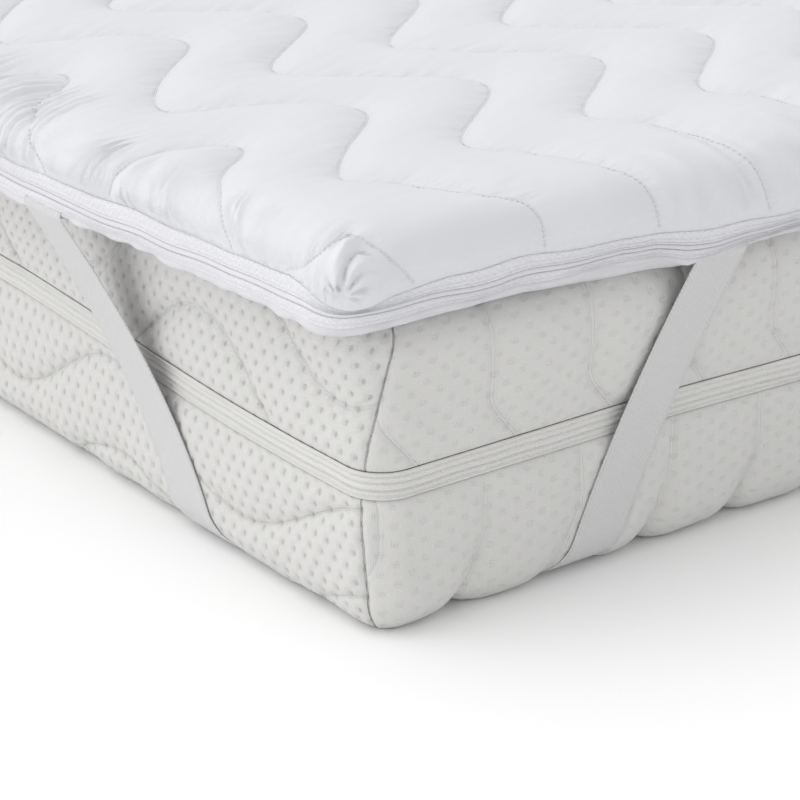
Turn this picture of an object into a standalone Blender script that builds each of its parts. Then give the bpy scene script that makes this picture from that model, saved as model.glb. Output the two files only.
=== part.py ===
"""Mattress topper on its mattress: a quilted, zipped cover held by an elastic strap at each corner.

Metres, +Z up. X runs across the bed, Y along it, and the origin is on the floor under the
middle of the topper. The corner that shows its zip ends in the photo is at -X, -Y.
"""

import math

import bmesh
import bpy
import numpy as np
from mathutils import Vector

# The topper: plan half sizes at the middle of each side, and its heights above the floor.
TOPPER_HALF_X = 0.4706
TOPPER_HALF_Y = 1.0120
STITCH_LEVEL = 0.3136
TUCK_LEVEL = 0.2738
SHOULDER = 0.055
CORNER_INSET = 0.013
INSET_FROM = 0.12
INSET_TO = 0.36
SAG_LONG = 0.004
SAG_SHORT = 0.009
EDGE_CROWN = 0.007
EDGE_CROWN_WIDTH = 0.13

# Quilting: wavy stitch lines that run along Y, a whole number of pitches apart in X.
WAVE_PITCH = 0.117
WAVE_FIRST_X = -0.4362
WAVE_PERIOD = 0.241
WAVE_TIP_Y = -0.881
WAVE_DEPTH = 0.0530
WAVE_POINTED = 0.03
PUFF = 0.0075
WAVES_BEYOND = 2
ROWS_IN_PERIOD = 8
COLUMNS_IN_PITCH = 4

# The zip band under the tuck: heights of its edges, and how far each layer stands out.
BAND_TOP = 0.2725
COIL_TOP = 0.2620
COIL_BOTTOM = 0.2575
BAND_BOTTOM = 0.2480
BAND_FACE = -0.0040
TAPE_THICK = 0.0012
COIL_PROUD = 0.0014
GAP = 0.0003
TUCK_GAP = 0.0008
LIP_BOTTOM = 0.2432
LIP_FACE = -0.0040
BASE_THICK = 0.0015
BASE_RISE_WIDTH = 0.030

# The mattress: its centre, half sizes, and the heights of its two halves and their zip.
MATTRESS_X = 0.019
MATTRESS_Y = 0.008
MATTRESS_HALF_X = 0.440
MATTRESS_HALF_Y = 0.990
MATTRESS_TOP = 0.2370
MATTRESS_SEAM = 0.1180
MATTRESS_ZIP_HEIGHT = 0.0200
MATTRESS_ZIP_THICK = 0.0020
MATTRESS_ZIP_SUNK = 0.0040
MATTRESS_CORNER = 0.034
BOTTOM_ROUND = 0.032
TOP_ROUND = 0.024
WAIST = 0.009
SEAM_CLIMB_LEFT = 0.019
SEAM_DROP_FRONT = 0.007
SEAM_SPREAD = 0.085
SEAM_INNER = 0.030

# Corner straps: where they cross, measured along each side from the mattress's corner.
STRAP_WIDTH = 0.046
STRAP_THICK = 0.0015
STRAP_LONG_TOP = 0.370
STRAP_LONG_FOOT = 0.212
STRAP_SHORT_TOP = 0.302
STRAP_SHORT_FOOT = 0.202
STRAP_CLEAR = 0.0006
STRAP_HANG = 0.006
HANG_SHARES = (0.0, 0.34, 0.67)
STRAP_TURNS = 5
STRAP_UNDER_ROWS = 8
GROOVE_SIDE = 0.0025
GROOVE_CUT = 0.0080

CORNER_STEPS = 6
RIM_STEP = 0.09
MATTRESS_STEP = 0.14
MM = 0.001

WHITE_COVER = (0.80, 0.81, 0.83)
WHITE_TAPE = (0.78, 0.79, 0.82)
WHITE_STRAP = (0.70, 0.71, 0.72)
KNIT = (0.72, 0.73, 0.71)

COLLECTION = "mattress_topper"


def clear_scene():
    for obj in list(bpy.data.objects):
        bpy.data.objects.remove(obj, do_unlink=True)


def new_collection(name):
    collection = bpy.data.collections.new(name)
    bpy.context.scene.collection.children.link(collection)
    return collection


def fabric(name, colour, roughness=0.9):
    material = bpy.data.materials.new(name)
    material.use_nodes = True
    shader = material.node_tree.nodes["Principled BSDF"]
    shader.inputs["Base Color"].default_value = (*colour, 1.0)
    shader.inputs["Roughness"].default_value = roughness
    shader.inputs["Metallic"].default_value = 0.0
    return material


def add_object(name, mesh, material, collection):
    obj = bpy.data.objects.new(name, mesh)
    obj.data.materials.clear()
    obj.data.materials.append(material)
    collection.objects.link(obj)
    return obj


def mesh_from(bm, name):
    mesh = bpy.data.meshes.new(name)
    bmesh.ops.recalc_face_normals(bm, faces=bm.faces[:])
    bm.to_mesh(mesh)
    bm.free()
    mesh.shade_smooth()
    return mesh


def smooth(low, high, value):
    t = min(max((value - low) / (high - low), 0.0), 1.0)
    return t * t * (3.0 - 2.0 * t)


# The topper's edge


def along_edges(foot_x, foot_y):
    """Distance of a point on the topper from its nearest corner, along the long and short side."""
    return TOPPER_HALF_Y - abs(foot_y), TOPPER_HALF_X - abs(foot_x)


def edge_inset(foot_x, foot_y, side_weight):
    """The straps draw each corner in, so the sides bow outwards between corners."""
    along_long, along_short = along_edges(foot_x, foot_y)
    distance = side_weight * along_long + (1.0 - side_weight) * along_short
    return CORNER_INSET * (1.0 - smooth(INSET_FROM, INSET_TO, distance))


def edge_sag(foot_x, foot_y, side_weight):
    """Past the corners the overhanging edge hangs a few millimetres lower."""
    along_long, along_short = along_edges(foot_x, foot_y)
    long_sag = SAG_LONG * smooth(0.15, 0.32, along_long)
    short_sag = SAG_SHORT * smooth(0.15, 0.32, along_short)
    return side_weight * long_sag + (1.0 - side_weight) * short_sag


def edge_point(foot_x, foot_y, angle_x, angle_y, out, height):
    """A point near the topper's edge: out is measured from the widest line of its side."""
    side_weight = angle_x * angle_x
    reach = SHOULDER + out - edge_inset(foot_x, foot_y, side_weight) * (SHOULDER + out) / SHOULDER
    low = edge_sag(foot_x, foot_y, side_weight)
    return Vector((foot_x + angle_x * reach, foot_y + angle_y * reach, height - low))


def walk_round(inner_x, inner_y, step):
    """Once round a rectangle with rounded corners: inner foot point and outward direction."""
    corners = [(inner_x, inner_y), (-inner_x, inner_y), (-inner_x, -inner_y), (inner_x, -inner_y)]
    stations = []
    for index, (x, y) in enumerate(corners):
        for turn in range(CORNER_STEPS + 1):
            angle = math.pi / 2 * (index + turn / CORNER_STEPS)
            stations.append((x, y, math.cos(angle), math.sin(angle)))
        next_x, next_y = corners[(index + 1) % 4]
        direction = stations[-1][2:]
        count = round((abs(next_x - x) + abs(next_y - y)) / step)
        for part in range(1, count):
            t = part / count
            stations.append((x + (next_x - x) * t, y + (next_y - y) * t, *direction))
    return stations


def rim_stations():
    return walk_round(TOPPER_HALF_X - SHOULDER, TOPPER_HALF_Y - SHOULDER, RIM_STEP)


def ring_loops(bm, section):
    """One vertex loop round the topper for each (out, height) of a cross-section."""
    return [
        [bm.verts.new(edge_point(*station, out, height)) for station in rim_stations()]
        for out, height in section
    ]


def bridge(bm, first, second):
    count = len(first)
    for i in range(count):
        j = (i + 1) % count
        bm.faces.new((first[i], first[j], second[j], second[i]))


def rim_ring(name, section, material, collection):
    """A band that runs round the topper: the closed cross-section swept along its edge."""
    bm = bmesh.new()
    loops = ring_loops(bm, section)
    for index, loop in enumerate(loops):
        bridge(bm, loop, loops[(index + 1) % len(loops)])
    return add_object(name, mesh_from(bm, name), material, collection)


# The quilted cover

# Cross-section from the flat top over the shoulder to the tuck: run along the cloth, way out
# past the inner rectangle, and drop below the stitch level.
SHOULDER_PROFILE = [
    # cloth, out, drop
    (0.000, 0.0000, 0.0000),
    (0.024, 0.0240, 0.0012),
    (0.040, 0.0390, 0.0058),
    (0.054, 0.0500, 0.0140),
    (0.070, 0.0550, 0.0270),
    (0.085, 0.0510, STITCH_LEVEL - TUCK_LEVEL),
]
CLOTH_BAND = SHOULDER_PROFILE[-1][0]


def profile_at(cloth):
    table = np.array(SHOULDER_PROFILE)
    out = float(np.interp(cloth, table[:, 0], table[:, 1]))
    drop = float(np.interp(cloth, table[:, 0], table[:, 2]))
    return out, drop


def profile_normal(cloth):
    """Outward and upward parts of the cover's normal at a place on the profile."""
    before = profile_at(max(cloth - 0.008, 0.0))
    after = profile_at(min(cloth + 0.008, CLOTH_BAND))
    run, fall = after[0] - before[0], after[1] - before[1]
    length = math.hypot(run, fall)
    return fall / length, run / length


def wave(y):
    """Sideways swing of a stitch line at y: a sine, slightly pointed like a triangle wave."""
    turn = 2.0 * math.pi * (y - WAVE_TIP_Y) / WAVE_PERIOD
    return -WAVE_DEPTH * (math.cos(turn) + WAVE_POINTED * math.cos(3.0 * turn))


def puff_at(x, y):
    """Height of the filling between the stitch lines, from 0 on a line to PUFF half way."""
    phase = (x - wave(y) - WAVE_FIRST_X) / WAVE_PITCH
    return PUFF * abs(math.sin(math.pi * phase)) ** 0.7


def corner_turn(over_x, over_y):
    """Square corner of flat cloth to a rounded one: distance out, and direction."""
    cloth = max(over_x, over_y)
    if cloth <= 0.0:
        return 0.0, 1.0, 0.0
    if over_x >= over_y:
        angle = math.pi / 4 * max(over_y, 0.0) / over_x
    else:
        angle = math.pi / 2 - math.pi / 4 * max(over_x, 0.0) / over_y
    return cloth, math.cos(angle), math.sin(angle)


def cover_point(x, y):
    """Where a point of the flat, quilted cloth lies on the filled topper."""
    inner_x = TOPPER_HALF_X - SHOULDER
    inner_y = TOPPER_HALF_Y - SHOULDER
    foot_x = min(max(x, -inner_x), inner_x)
    foot_y = min(max(y, -inner_y), inner_y)
    cloth, angle_x, angle_y = corner_turn(abs(x) - inner_x, abs(y) - inner_y)
    angle_x = math.copysign(angle_x, x)
    angle_y = math.copysign(angle_y, y)
    out, drop = profile_at(cloth)
    side, up = profile_normal(cloth)
    puff = puff_at(x, y) * (1.0 - smooth(CLOTH_BAND - 0.02, CLOTH_BAND, cloth))
    crown = EDGE_CROWN * (1.0 - smooth(0.0, EDGE_CROWN_WIDTH, TOPPER_HALF_X - abs(foot_x) - SHOULDER))
    crown *= smooth(0.10, 0.30, TOPPER_HALF_Y - abs(foot_y)) * (1.0 - drop / (STITCH_LEVEL - TUCK_LEVEL))
    height = STITCH_LEVEL - crown - drop + puff * up
    if cloth <= 0.0:
        return Vector((x, y, height))
    weight = drop / (STITCH_LEVEL - TUCK_LEVEL)
    spot = edge_point(foot_x, foot_y, angle_x, angle_y, out - SHOULDER + puff * side, 0.0)
    low = edge_sag(foot_x, foot_y, angle_x * angle_x)
    spot.z = height - low * weight
    return spot


def quilted_cloth():
    """The flat cloth: a grid whose columns follow the stitch lines, trimmed to its cut size."""
    half_x = TOPPER_HALF_X - SHOULDER + CLOTH_BAND
    half_y = TOPPER_HALF_Y - SHOULDER + CLOTH_BAND
    columns = (math.ceil(2 * half_x / WAVE_PITCH) + 2 * WAVES_BEYOND) * COLUMNS_IN_PITCH
    rows = math.ceil(2 * half_y / WAVE_PERIOD + 2) * ROWS_IN_PERIOD
    start_x = WAVE_FIRST_X - WAVES_BEYOND * WAVE_PITCH
    start_y = WAVE_TIP_Y - WAVE_PERIOD
    bm = bmesh.new()
    bmesh.ops.create_grid(bm, x_segments=columns, y_segments=rows, size=0.5)
    for vert in bm.verts:
        y = start_y + (vert.co.y + 0.5) * rows * WAVE_PERIOD / ROWS_IN_PERIOD
        x = start_x + (vert.co.x + 0.5) * columns * WAVE_PITCH / COLUMNS_IN_PITCH
        vert.co = (x + wave(y), y, 0.0)
    cuts = [run for run, _, _ in SHOULDER_PROFILE]
    for axis, half in ((Vector((1, 0, 0)), half_x), (Vector((0, 1, 0)), half_y)):
        for sign in (1, -1):
            geometry = bm.verts[:] + bm.edges[:] + bm.faces[:]
            bmesh.ops.bisect_plane(
                bm, geom=geometry, dist=1e-6, plane_co=axis * sign * half,
                plane_no=axis * sign, clear_outer=True,
            )
    for axis, half in ((Vector((1, 0, 0)), half_x), (Vector((0, 1, 0)), half_y)):
        for sign in (1, -1):
            for cut in cuts[:-1]:
                place = axis * sign * (half - CLOTH_BAND + cut)
                geometry = bm.verts[:] + bm.edges[:] + bm.faces[:]
                bmesh.ops.bisect_plane(bm, geom=geometry, dist=0.0015, plane_co=place, plane_no=axis)
    return bm


def topper_cover(collection):
    """Quilted top and sides over the filling, closed by a flat underside inside the zip band."""
    bm = quilted_cloth()
    for vert in bm.verts:
        vert.co = cover_point(vert.co.x, vert.co.y)
    rim = [edge for edge in bm.edges if edge.is_boundary]
    inner = LIP_FACE - BASE_THICK - GAP
    section = [(inner, BAND_TOP + TUCK_GAP), (inner, LIP_BOTTOM + BASE_THICK + GAP)]
    tuck_loop, low_loop = ring_loops(bm, section)
    count = len(tuck_loop)
    tuck_edges = [bm.edges.new((tuck_loop[i], tuck_loop[(i + 1) % count])) for i in range(count)]
    bmesh.ops.bridge_loops(bm, edges=rim + tuck_edges)
    bridge(bm, tuck_loop, low_loop)
    under = under_loop(bm, MATTRESS_TOP + GAP + BASE_THICK + GAP)
    bridge(bm, low_loop, under)
    bm.faces.new(under)
    bmesh.ops.triangulate(bm, faces=bm.faces[:])
    mesh = mesh_from(bm, "topper_cover")
    return add_object("topper_cover", mesh, fabric("quilted_cover", WHITE_COVER), collection)


def under_loop(bm, height):
    """The flat underside's outline, a little inside the edge, where the base lifts to the rim."""
    loop = []
    for station in rim_stations():
        spot = edge_point(*station, -BASE_RISE_WIDTH, 0.0)
        spot.z = height
        loop.append(bm.verts.new(spot))
    return loop


def topper_base(collection):
    """The base cloth: flat on the mattress, lifting to the seam, with a lip that turns up."""
    bm = bmesh.new()
    low = MATTRESS_TOP + GAP
    section = [
        (LIP_FACE, LIP_BOTTOM),
        (LIP_FACE, BAND_BOTTOM - GAP),
        (LIP_FACE - BASE_THICK, BAND_BOTTOM - GAP),
        (LIP_FACE - BASE_THICK, LIP_BOTTOM + BASE_THICK),
    ]
    loops = ring_loops(bm, section)
    top = under_loop(bm, low + BASE_THICK)
    bottom = under_loop(bm, low)
    chain = [bottom] + loops + [top]
    for first, second in zip(chain, chain[1:]):
        bridge(bm, first, second)
    bm.faces.new(top)
    bm.faces.new(bottom)
    bmesh.ops.triangulate(bm, faces=bm.faces[:])
    mesh = mesh_from(bm, "topper_base")
    return add_object("topper_base", mesh, fabric("base_cloth", WHITE_COVER), collection)


def tape_section(low, high):
    back = BAND_FACE - TAPE_THICK
    return [(BAND_FACE, low), (BAND_FACE, high), (back, high), (back, low)]


def zip_band(collection):
    """The closed zip round the topper: a tape above and below, and the coil between them."""
    tape = fabric("zip_tape", WHITE_TAPE)
    rim_ring("zip_tape_upper", tape_section(COIL_TOP + GAP, BAND_TOP), tape, collection)
    rim_ring("zip_tape_lower", tape_section(BAND_BOTTOM, COIL_BOTTOM - GAP), tape, collection)
    middle = (COIL_TOP + COIL_BOTTOM) / 2
    proud = BAND_FACE + COIL_PROUD
    back = BAND_FACE - TAPE_THICK
    section = [
        (BAND_FACE - 0.2 * MM, COIL_BOTTOM),
        (proud, middle),
        (BAND_FACE - 0.2 * MM, COIL_TOP),
        (back, COIL_TOP),
        (back, COIL_BOTTOM),
    ]
    rim_ring("zip_coil", section, fabric("zip_coil", WHITE_TAPE, 0.6), collection)


# The mattress


def seam_shift(along_x, along_y, dir_x, dir_y):
    """The mattress's seam climbs along its left side and drops a little along the front."""
    left = SEAM_CLIMB_LEFT * dir_x**2 if dir_x < 0 else 0.0
    left *= smooth(0.08, 0.55, along_y) * (1.0 - smooth(0.9, 1.7, along_y))
    front = SEAM_DROP_FRONT * dir_y**2 if dir_y < 0 else 0.0
    front *= smooth(0.2, 0.5, along_x) * (1.0 - smooth(0.55, 0.85, along_x))
    return left - front


def mattress_point(station, offset, height):
    """A point of the mattress's side: offset outwards from its nominal face."""
    foot_x, foot_y, dir_x, dir_y = station
    waist = WAIST * dir_x**2 * smooth(0.15, 0.60, MATTRESS_HALF_Y - abs(foot_y))
    reach = MATTRESS_CORNER + offset - waist
    near_seam = 1.0 - min(1.0, abs(height - MATTRESS_SEAM) / SEAM_SPREAD)
    near_seam *= 1.0 if offset > -SEAM_INNER else 0.0
    shift = seam_shift(foot_x + MATTRESS_HALF_X, foot_y + MATTRESS_HALF_Y, dir_x, dir_y)
    x = MATTRESS_X + foot_x + dir_x * reach
    y = MATTRESS_Y + foot_y + dir_y * reach
    return Vector((x, y, height + shift * near_seam))


def mattress_loop(bm, offset, height):
    inner_x = MATTRESS_HALF_X - MATTRESS_CORNER
    inner_y = MATTRESS_HALF_Y - MATTRESS_CORNER
    stations = walk_round(inner_x, inner_y, MATTRESS_STEP)
    return [bm.verts.new(mattress_point(station, offset, height)) for station in stations]


def stacked(name, section, material, collection):
    """A filled body from level outlines: section is a list of (offset, height), bottom first."""
    bm = bmesh.new()
    loops = [mattress_loop(bm, offset, height) for offset, height in section]
    for first, second in zip(loops, loops[1:]):
        bridge(bm, first, second)
    bmesh.ops.triangulate(bm, faces=bm.faces[:], quad_method="SHORT_EDGE")
    bm.faces.new(loops[0])
    bm.faces.new(loops[-1])
    return add_object(name, mesh_from(bm, name), material, collection)


def quarter_round(radius, height, rising, steps=5):
    """Offsets and heights along a rounded edge, from the flat face to the side."""
    rows = []
    for step in range(steps + 1):
        angle = math.pi / 2 * step / steps
        inset = radius * (1.0 - math.sin(angle))
        rise = radius * (1.0 - math.cos(angle))
        rows.append((-inset, height + rising * rise))
    return rows


def mattress(collection):
    """Lower and upper half of the knit-covered mattress, with its own zip between them."""
    knit = fabric("knit_cover", KNIT)
    groove = -MATTRESS_ZIP_SUNK - MATTRESS_ZIP_THICK - GAP
    half_zip = MATTRESS_ZIP_HEIGHT / 2
    zip_low = MATTRESS_SEAM - half_zip
    zip_high = MATTRESS_SEAM + half_zip
    lower = quarter_round(BOTTOM_ROUND, 0.0, 1)
    lower += [(0.0, zip_low - 0.022), (-MATTRESS_ZIP_SUNK, zip_low - GAP)]
    lower += [(groove, zip_low - GAP), (groove, MATTRESS_SEAM - GAP)]
    lower += [(-SEAM_INNER, MATTRESS_SEAM - GAP)]
    upper = [(-SEAM_INNER, MATTRESS_SEAM)]
    upper += [(groove, MATTRESS_SEAM), (groove, zip_high + GAP)]
    upper += [(-MATTRESS_ZIP_SUNK, zip_high + GAP), (0.0, zip_high + 0.022)]
    upper += reversed(quarter_round(TOP_ROUND, MATTRESS_TOP, -1))
    lower_half = stacked("mattress_lower", lower, knit, collection)
    stacked("mattress_upper", upper, knit, collection)
    bm = bmesh.new()
    inner = -MATTRESS_ZIP_SUNK - MATTRESS_ZIP_THICK
    face = -MATTRESS_ZIP_SUNK
    section = [(face, zip_low), (face, zip_high), (inner, zip_high), (inner, zip_low)]
    loops = [mattress_loop(bm, offset, height) for offset, height in section]
    for index, loop in enumerate(loops):
        bridge(bm, loop, loops[(index + 1) % 4])
    add_object("mattress_zip", mesh_from(bm, "mattress_zip"), fabric("mattress_zip", KNIT), collection)
    return lower_half


# Corner straps


def strap_end(corner, sign_x, sign_y, on_long_side):
    """Where a strap is sewn under the lip: the middle of its top edge."""
    inner_x = TOPPER_HALF_X - SHOULDER
    inner_y = TOPPER_HALF_Y - SHOULDER
    out = LIP_FACE - BASE_THICK / 2 - STRAP_THICK
    if on_long_side:
        along = corner.y - sign_y * STRAP_LONG_TOP
        return edge_point(sign_x * inner_x, along, sign_x, 0, out, LIP_BOTTOM - GAP)
    along = corner.x - sign_x * STRAP_SHORT_TOP
    return edge_point(along, sign_y * inner_y, 0, sign_y, out, LIP_BOTTOM - GAP)


def strap_side(top_out, top_height, top_along, foot_along, sunk):
    """Half a strap, from its sewn end down a side and round the lower edge.

    Each row is (along, out, height): along from the mattress's corner, out from its side face.
    """
    side_out = STRAP_CLEAR - sunk
    under = STRAP_THICK + GAP + sunk
    hang = BOTTOM_ROUND + STRAP_HANG
    lean = (top_along - foot_along) / (top_height - BOTTOM_ROUND)
    rows = []
    for t in HANG_SHARES:
        height = top_height + (hang - top_height) * t
        out = top_out + (side_out - top_out) * t
        rows.append((foot_along + lean * (height - BOTTOM_ROUND), out, height))
    for step in range(STRAP_TURNS + 1):
        angle = math.pi / 2 * step / STRAP_TURNS
        out = side_out - (BOTTOM_ROUND + side_out) * (1.0 - math.cos(angle))
        height = BOTTOM_ROUND - (BOTTOM_ROUND - under) * math.sin(angle)
        rows.append((foot_along - lean * BOTTOM_ROUND * angle, out, height))
    return rows


def strap_rows(sign_x, sign_y, half, sunk):
    """Middle and half width of the strap at each row, from the long side to the short side."""
    corner = Vector((MATTRESS_X + sign_x * MATTRESS_HALF_X, MATTRESS_Y + sign_y * MATTRESS_HALF_Y, 0))
    long_end = strap_end(corner, sign_x, sign_y, True)
    short_end = strap_end(corner, sign_x, sign_y, False)
    long_side = strap_side(
        abs(long_end.x - corner.x), long_end.z, STRAP_LONG_TOP, STRAP_LONG_FOOT, sunk
    )
    short_side = strap_side(
        abs(short_end.y - corner.y), short_end.z, STRAP_SHORT_TOP, STRAP_SHORT_FOOT, sunk
    )
    chord_long = half * math.hypot(1.0, (STRAP_LONG_TOP - STRAP_LONG_FOOT) / MATTRESS_TOP)
    chord_short = half * math.hypot(1.0, (STRAP_SHORT_TOP - STRAP_SHORT_FOOT) / MATTRESS_TOP)
    rows = []
    for along, out, height in long_side:
        middle = corner + Vector((sign_x * out, -sign_y * along, height))
        rows.append((middle, Vector((0, -sign_y * chord_long, 0))))
    ends = []
    for along, out, height in short_side:
        middle = corner + Vector((-sign_x * along, sign_y * out, height))
        ends.append((middle, Vector((-sign_x * chord_short, 0, 0))))
    first, last = rows[-1][0], ends[-1][0]
    for step in range(1, STRAP_UNDER_ROWS):
        t = step / STRAP_UNDER_ROWS
        angle = math.pi / 2 * smooth(0.1, 0.9, t)
        chord = chord_long + (chord_short - chord_long) * t
        across = Vector((-sign_x * math.sin(angle), -sign_y * math.cos(angle), 0))
        rows.append((first.lerp(last, t), across * chord))
    return rows + ends[::-1]


def strap_mesh(name, sign_x, sign_y, wide=0.0, sunk=0.0, skipped=0):
    """A strap's flat ribbon, its faces turned away from the mattress."""
    bm = bmesh.new()
    sheets = []
    rows = strap_rows(sign_x, sign_y, STRAP_WIDTH / 2 + wide, sunk)
    for middle, across in rows[skipped : len(rows) - skipped]:
        sheets.append([bm.verts.new(middle - across), bm.verts.new(middle + across)])
    for first, second in zip(sheets, sheets[1:]):
        corners = (first[0], first[1], second[1], second[0])
        bm.faces.new(corners if sign_x * sign_y > 0 else corners[::-1])
    mesh = bpy.data.meshes.new(name)
    bm.to_mesh(mesh)
    bm.free()
    return mesh


def corner_straps(lower_half, collection, cutters):
    """Four elastic straps, and the shallow bed each one presses into the mattress's underside."""
    elastic = fabric("elastic", WHITE_STRAP)
    for sign_x, side in ((-1, "left"), (1, "right")):
        for sign_y, end in ((-1, "front"), (1, "back")):
            name = f"strap_{end}_{side}"
            ribbon = strap_mesh(name, sign_x, sign_y)
            thicken(add_object(name, ribbon, elastic, collection), STRAP_THICK)
            bed = strap_mesh(name + "_bed", sign_x, sign_y, GROOVE_SIDE, GAP, len(HANG_SHARES) + 1)
            cutter = add_object(name + "_bed", bed, elastic, cutters)
            thicken(cutter, GROOVE_CUT)
            cutter.hide_render = True
            cutter.display_type = "WIRE"
    cut = lower_half.modifiers.new("strap_beds", "BOOLEAN")
    cut.operation = "DIFFERENCE"
    cut.solver = "EXACT"
    cut.operand_type = "COLLECTION"
    cut.collection = cutters


def thicken(obj, thickness):
    solid = obj.modifiers.new("thickness", "SOLIDIFY")
    solid.thickness = thickness
    solid.offset = 1.0
    solid.use_even_offset = True


def main():
    clear_scene()
    collection = new_collection(COLLECTION)
    cutters = new_collection("cutters")
    lower_half = mattress(collection)
    topper_base(collection)
    topper_cover(collection)
    zip_band(collection)
    corner_straps(lower_half, collection, cutters)


main()
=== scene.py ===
"""Looks for a quilted mattress topper that is strapped round a plain knit mattress.

Metres, +Z up. X runs across the bed, Y along it, and the corner in the photo is at -X, -Y.
"""

import contextlib
import math

import bmesh
import bpy
import numpy as np
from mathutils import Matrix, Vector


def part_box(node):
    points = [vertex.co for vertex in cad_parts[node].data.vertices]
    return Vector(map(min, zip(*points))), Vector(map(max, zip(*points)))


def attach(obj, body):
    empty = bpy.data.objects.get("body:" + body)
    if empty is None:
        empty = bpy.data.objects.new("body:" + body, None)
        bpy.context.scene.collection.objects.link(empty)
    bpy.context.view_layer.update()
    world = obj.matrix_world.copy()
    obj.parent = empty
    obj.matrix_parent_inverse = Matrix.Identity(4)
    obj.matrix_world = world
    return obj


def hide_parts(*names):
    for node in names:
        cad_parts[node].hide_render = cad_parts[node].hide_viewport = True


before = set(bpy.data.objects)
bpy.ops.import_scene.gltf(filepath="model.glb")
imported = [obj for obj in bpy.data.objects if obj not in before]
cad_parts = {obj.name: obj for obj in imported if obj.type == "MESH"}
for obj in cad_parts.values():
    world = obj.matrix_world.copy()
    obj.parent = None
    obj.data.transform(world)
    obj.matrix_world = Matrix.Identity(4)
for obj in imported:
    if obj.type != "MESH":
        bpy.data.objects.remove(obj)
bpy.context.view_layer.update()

# Camera
# It stands off the bed's front left corner with a long lens and looks down at it. Its place
# and lens were solved from the quilting's even lattice of stitch lines.

CAMERA_PLACE = (-1.53104836, -2.47102805, 0.95620743)
CAMERA_DOWN = 22.406962
CAMERA_RIGHT = 37.308194
CAMERA_LENS = 132.447887

camera_data = bpy.data.cameras.new("camera")
camera_data.lens = CAMERA_LENS
camera_data.sensor_width = 36.0
camera_data.clip_start = 0.05
camera = bpy.data.objects.new("camera", camera_data)
camera.location = CAMERA_PLACE
camera.rotation_euler = (math.radians(90 - CAMERA_DOWN), 0, math.radians(-CAMERA_RIGHT))
bpy.context.scene.collection.objects.link(camera)
bpy.context.scene.camera = camera

# Mattress
# A foam core in an off-white double knit whose face is full of small dents. The knit is quilted
# to a thin wadding with long wavy lines, and each half's four side panels meet in corner seams.

MATTRESS_CORNER = 0.034
BOTTOM_ROUND = 0.032
TOP_ROUND = 0.024
WAIST = 0.009
SEAM_LEVEL = 0.118
SEAM_CLIMB_LEFT = 0.019
SEAM_DROP_FRONT = 0.007
SEAM_SPREAD = 0.085
ZIP_HALF = 0.010
ROW = 0.00385
FRONT_COLUMN = 0.002875
SIDE_COLUMN = 0.0036
DENT = 0.0010
CORNER_SEAM = [
    # height, angle on the rounded corner from the long side's outward direction
    (0.000, 38.0),
    (0.022, 36.5),
    (0.062, 31.8),
    (0.093, 28.2),
    (0.113, 25.5),
    (0.134, 33.5),
    (0.155, 39.8),
    (0.185, 51.8),
    (0.218, 65.7),
    (0.237, 76.0),
]
# A strap's distance from the corner at its top and its foot, on a long side and on a short one
LONG_STRAP, SHORT_STRAP = (0.347, 0.231), (0.298, 0.210)
# The heights where it starts and where it meets the mattress, and its sweep between them
STRAP_TOP, STRAP_BEND, STRAP_SWEEP = 0.241, 0.038, 1.8
# How far it stands off the face and off the floor, and how wide it presses the knit flat
STRAP_CLEAR, STRAP_LOW = 0.0006, 0.0019
PRESS_HALF, PRESS_EDGE = 0.024, 0.034
# How far the lip stands past the mattress: left and right, then front and back
LIP_PAST_X, LIP_PAST_Y = (0.048, 0.010), (0.025, 0.009)
FRONT_QUILT_X, FRONT_QUILT_PITCH = -0.318, 0.090
UPPER_SWAY, LOWER_SWAY = 0.032, -0.020
FRONT_SWELL, FOOT_SWELL, FRONT_BULGE, SIDE_SWELL = 0.0040, 0.0056, 0.010, 0.0058
# A crest's y, then length, middle height, depth and pitch of the waves along the long sides
UPPER_WAVES = (-0.765, 0.36, 0.131, 0.061, 0.103)
LOWER_WAVES = (-0.985, 0.34, 0.072, 0.030, 0.068)
MEAN_PITCH = 0.080
CORNER_COLUMNS = (12, 8)
BESIDE_SEAM = (0.0009, 0.0019)
SEAM_SUNK, SEAM_HALF = 0.0016, 0.0016
GROOVE_SIDE = [
    # out from the face, away from the zip's edge, outward and upward share of the knit's rise
    (-0.0052, 0.0, 0.0, 1.0),
    (-0.0030, 0.0012, 0.7, 0.7),
    (-0.0014, 0.0042, 0.9, 0.4),
    (-0.0004, 0.0080, 1.0, 0.0),
]
GROOVE_OUT, GROOVE_REACH = -0.0063, 0.012
# The lower half is closed inside itself, above its own edge and the underside's panel
CAP_OUT, CAP_HEIGHT = -0.0335, 0.0045
KNIT_COLOUR = (0.684, 0.680, 0.664)

mattress_low, mattress_high = (np.array(corner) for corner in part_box("mattress_lower"))
MATTRESS_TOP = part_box("mattress_upper")[1][2]
MATTRESS_MIDDLE = (mattress_low + mattress_high)[:2] / 2
MATTRESS_HALF = (mattress_high - mattress_low)[:2] / 2
FOOT_X, FOOT_Y = MATTRESS_HALF - MATTRESS_CORNER


def smooth(low, high, value):
    t = np.clip((value - low) / (high - low), 0.0, 1.0)
    return t * t * (3.0 - 2.0 * t)


def fade(low, high, value):
    return 1.0 - smooth(low, high, value)


def ridge(away, width):
    """1 on a line, falling to nothing at about twice that width from it."""
    return np.exp(-((away / width) ** 2))


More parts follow.
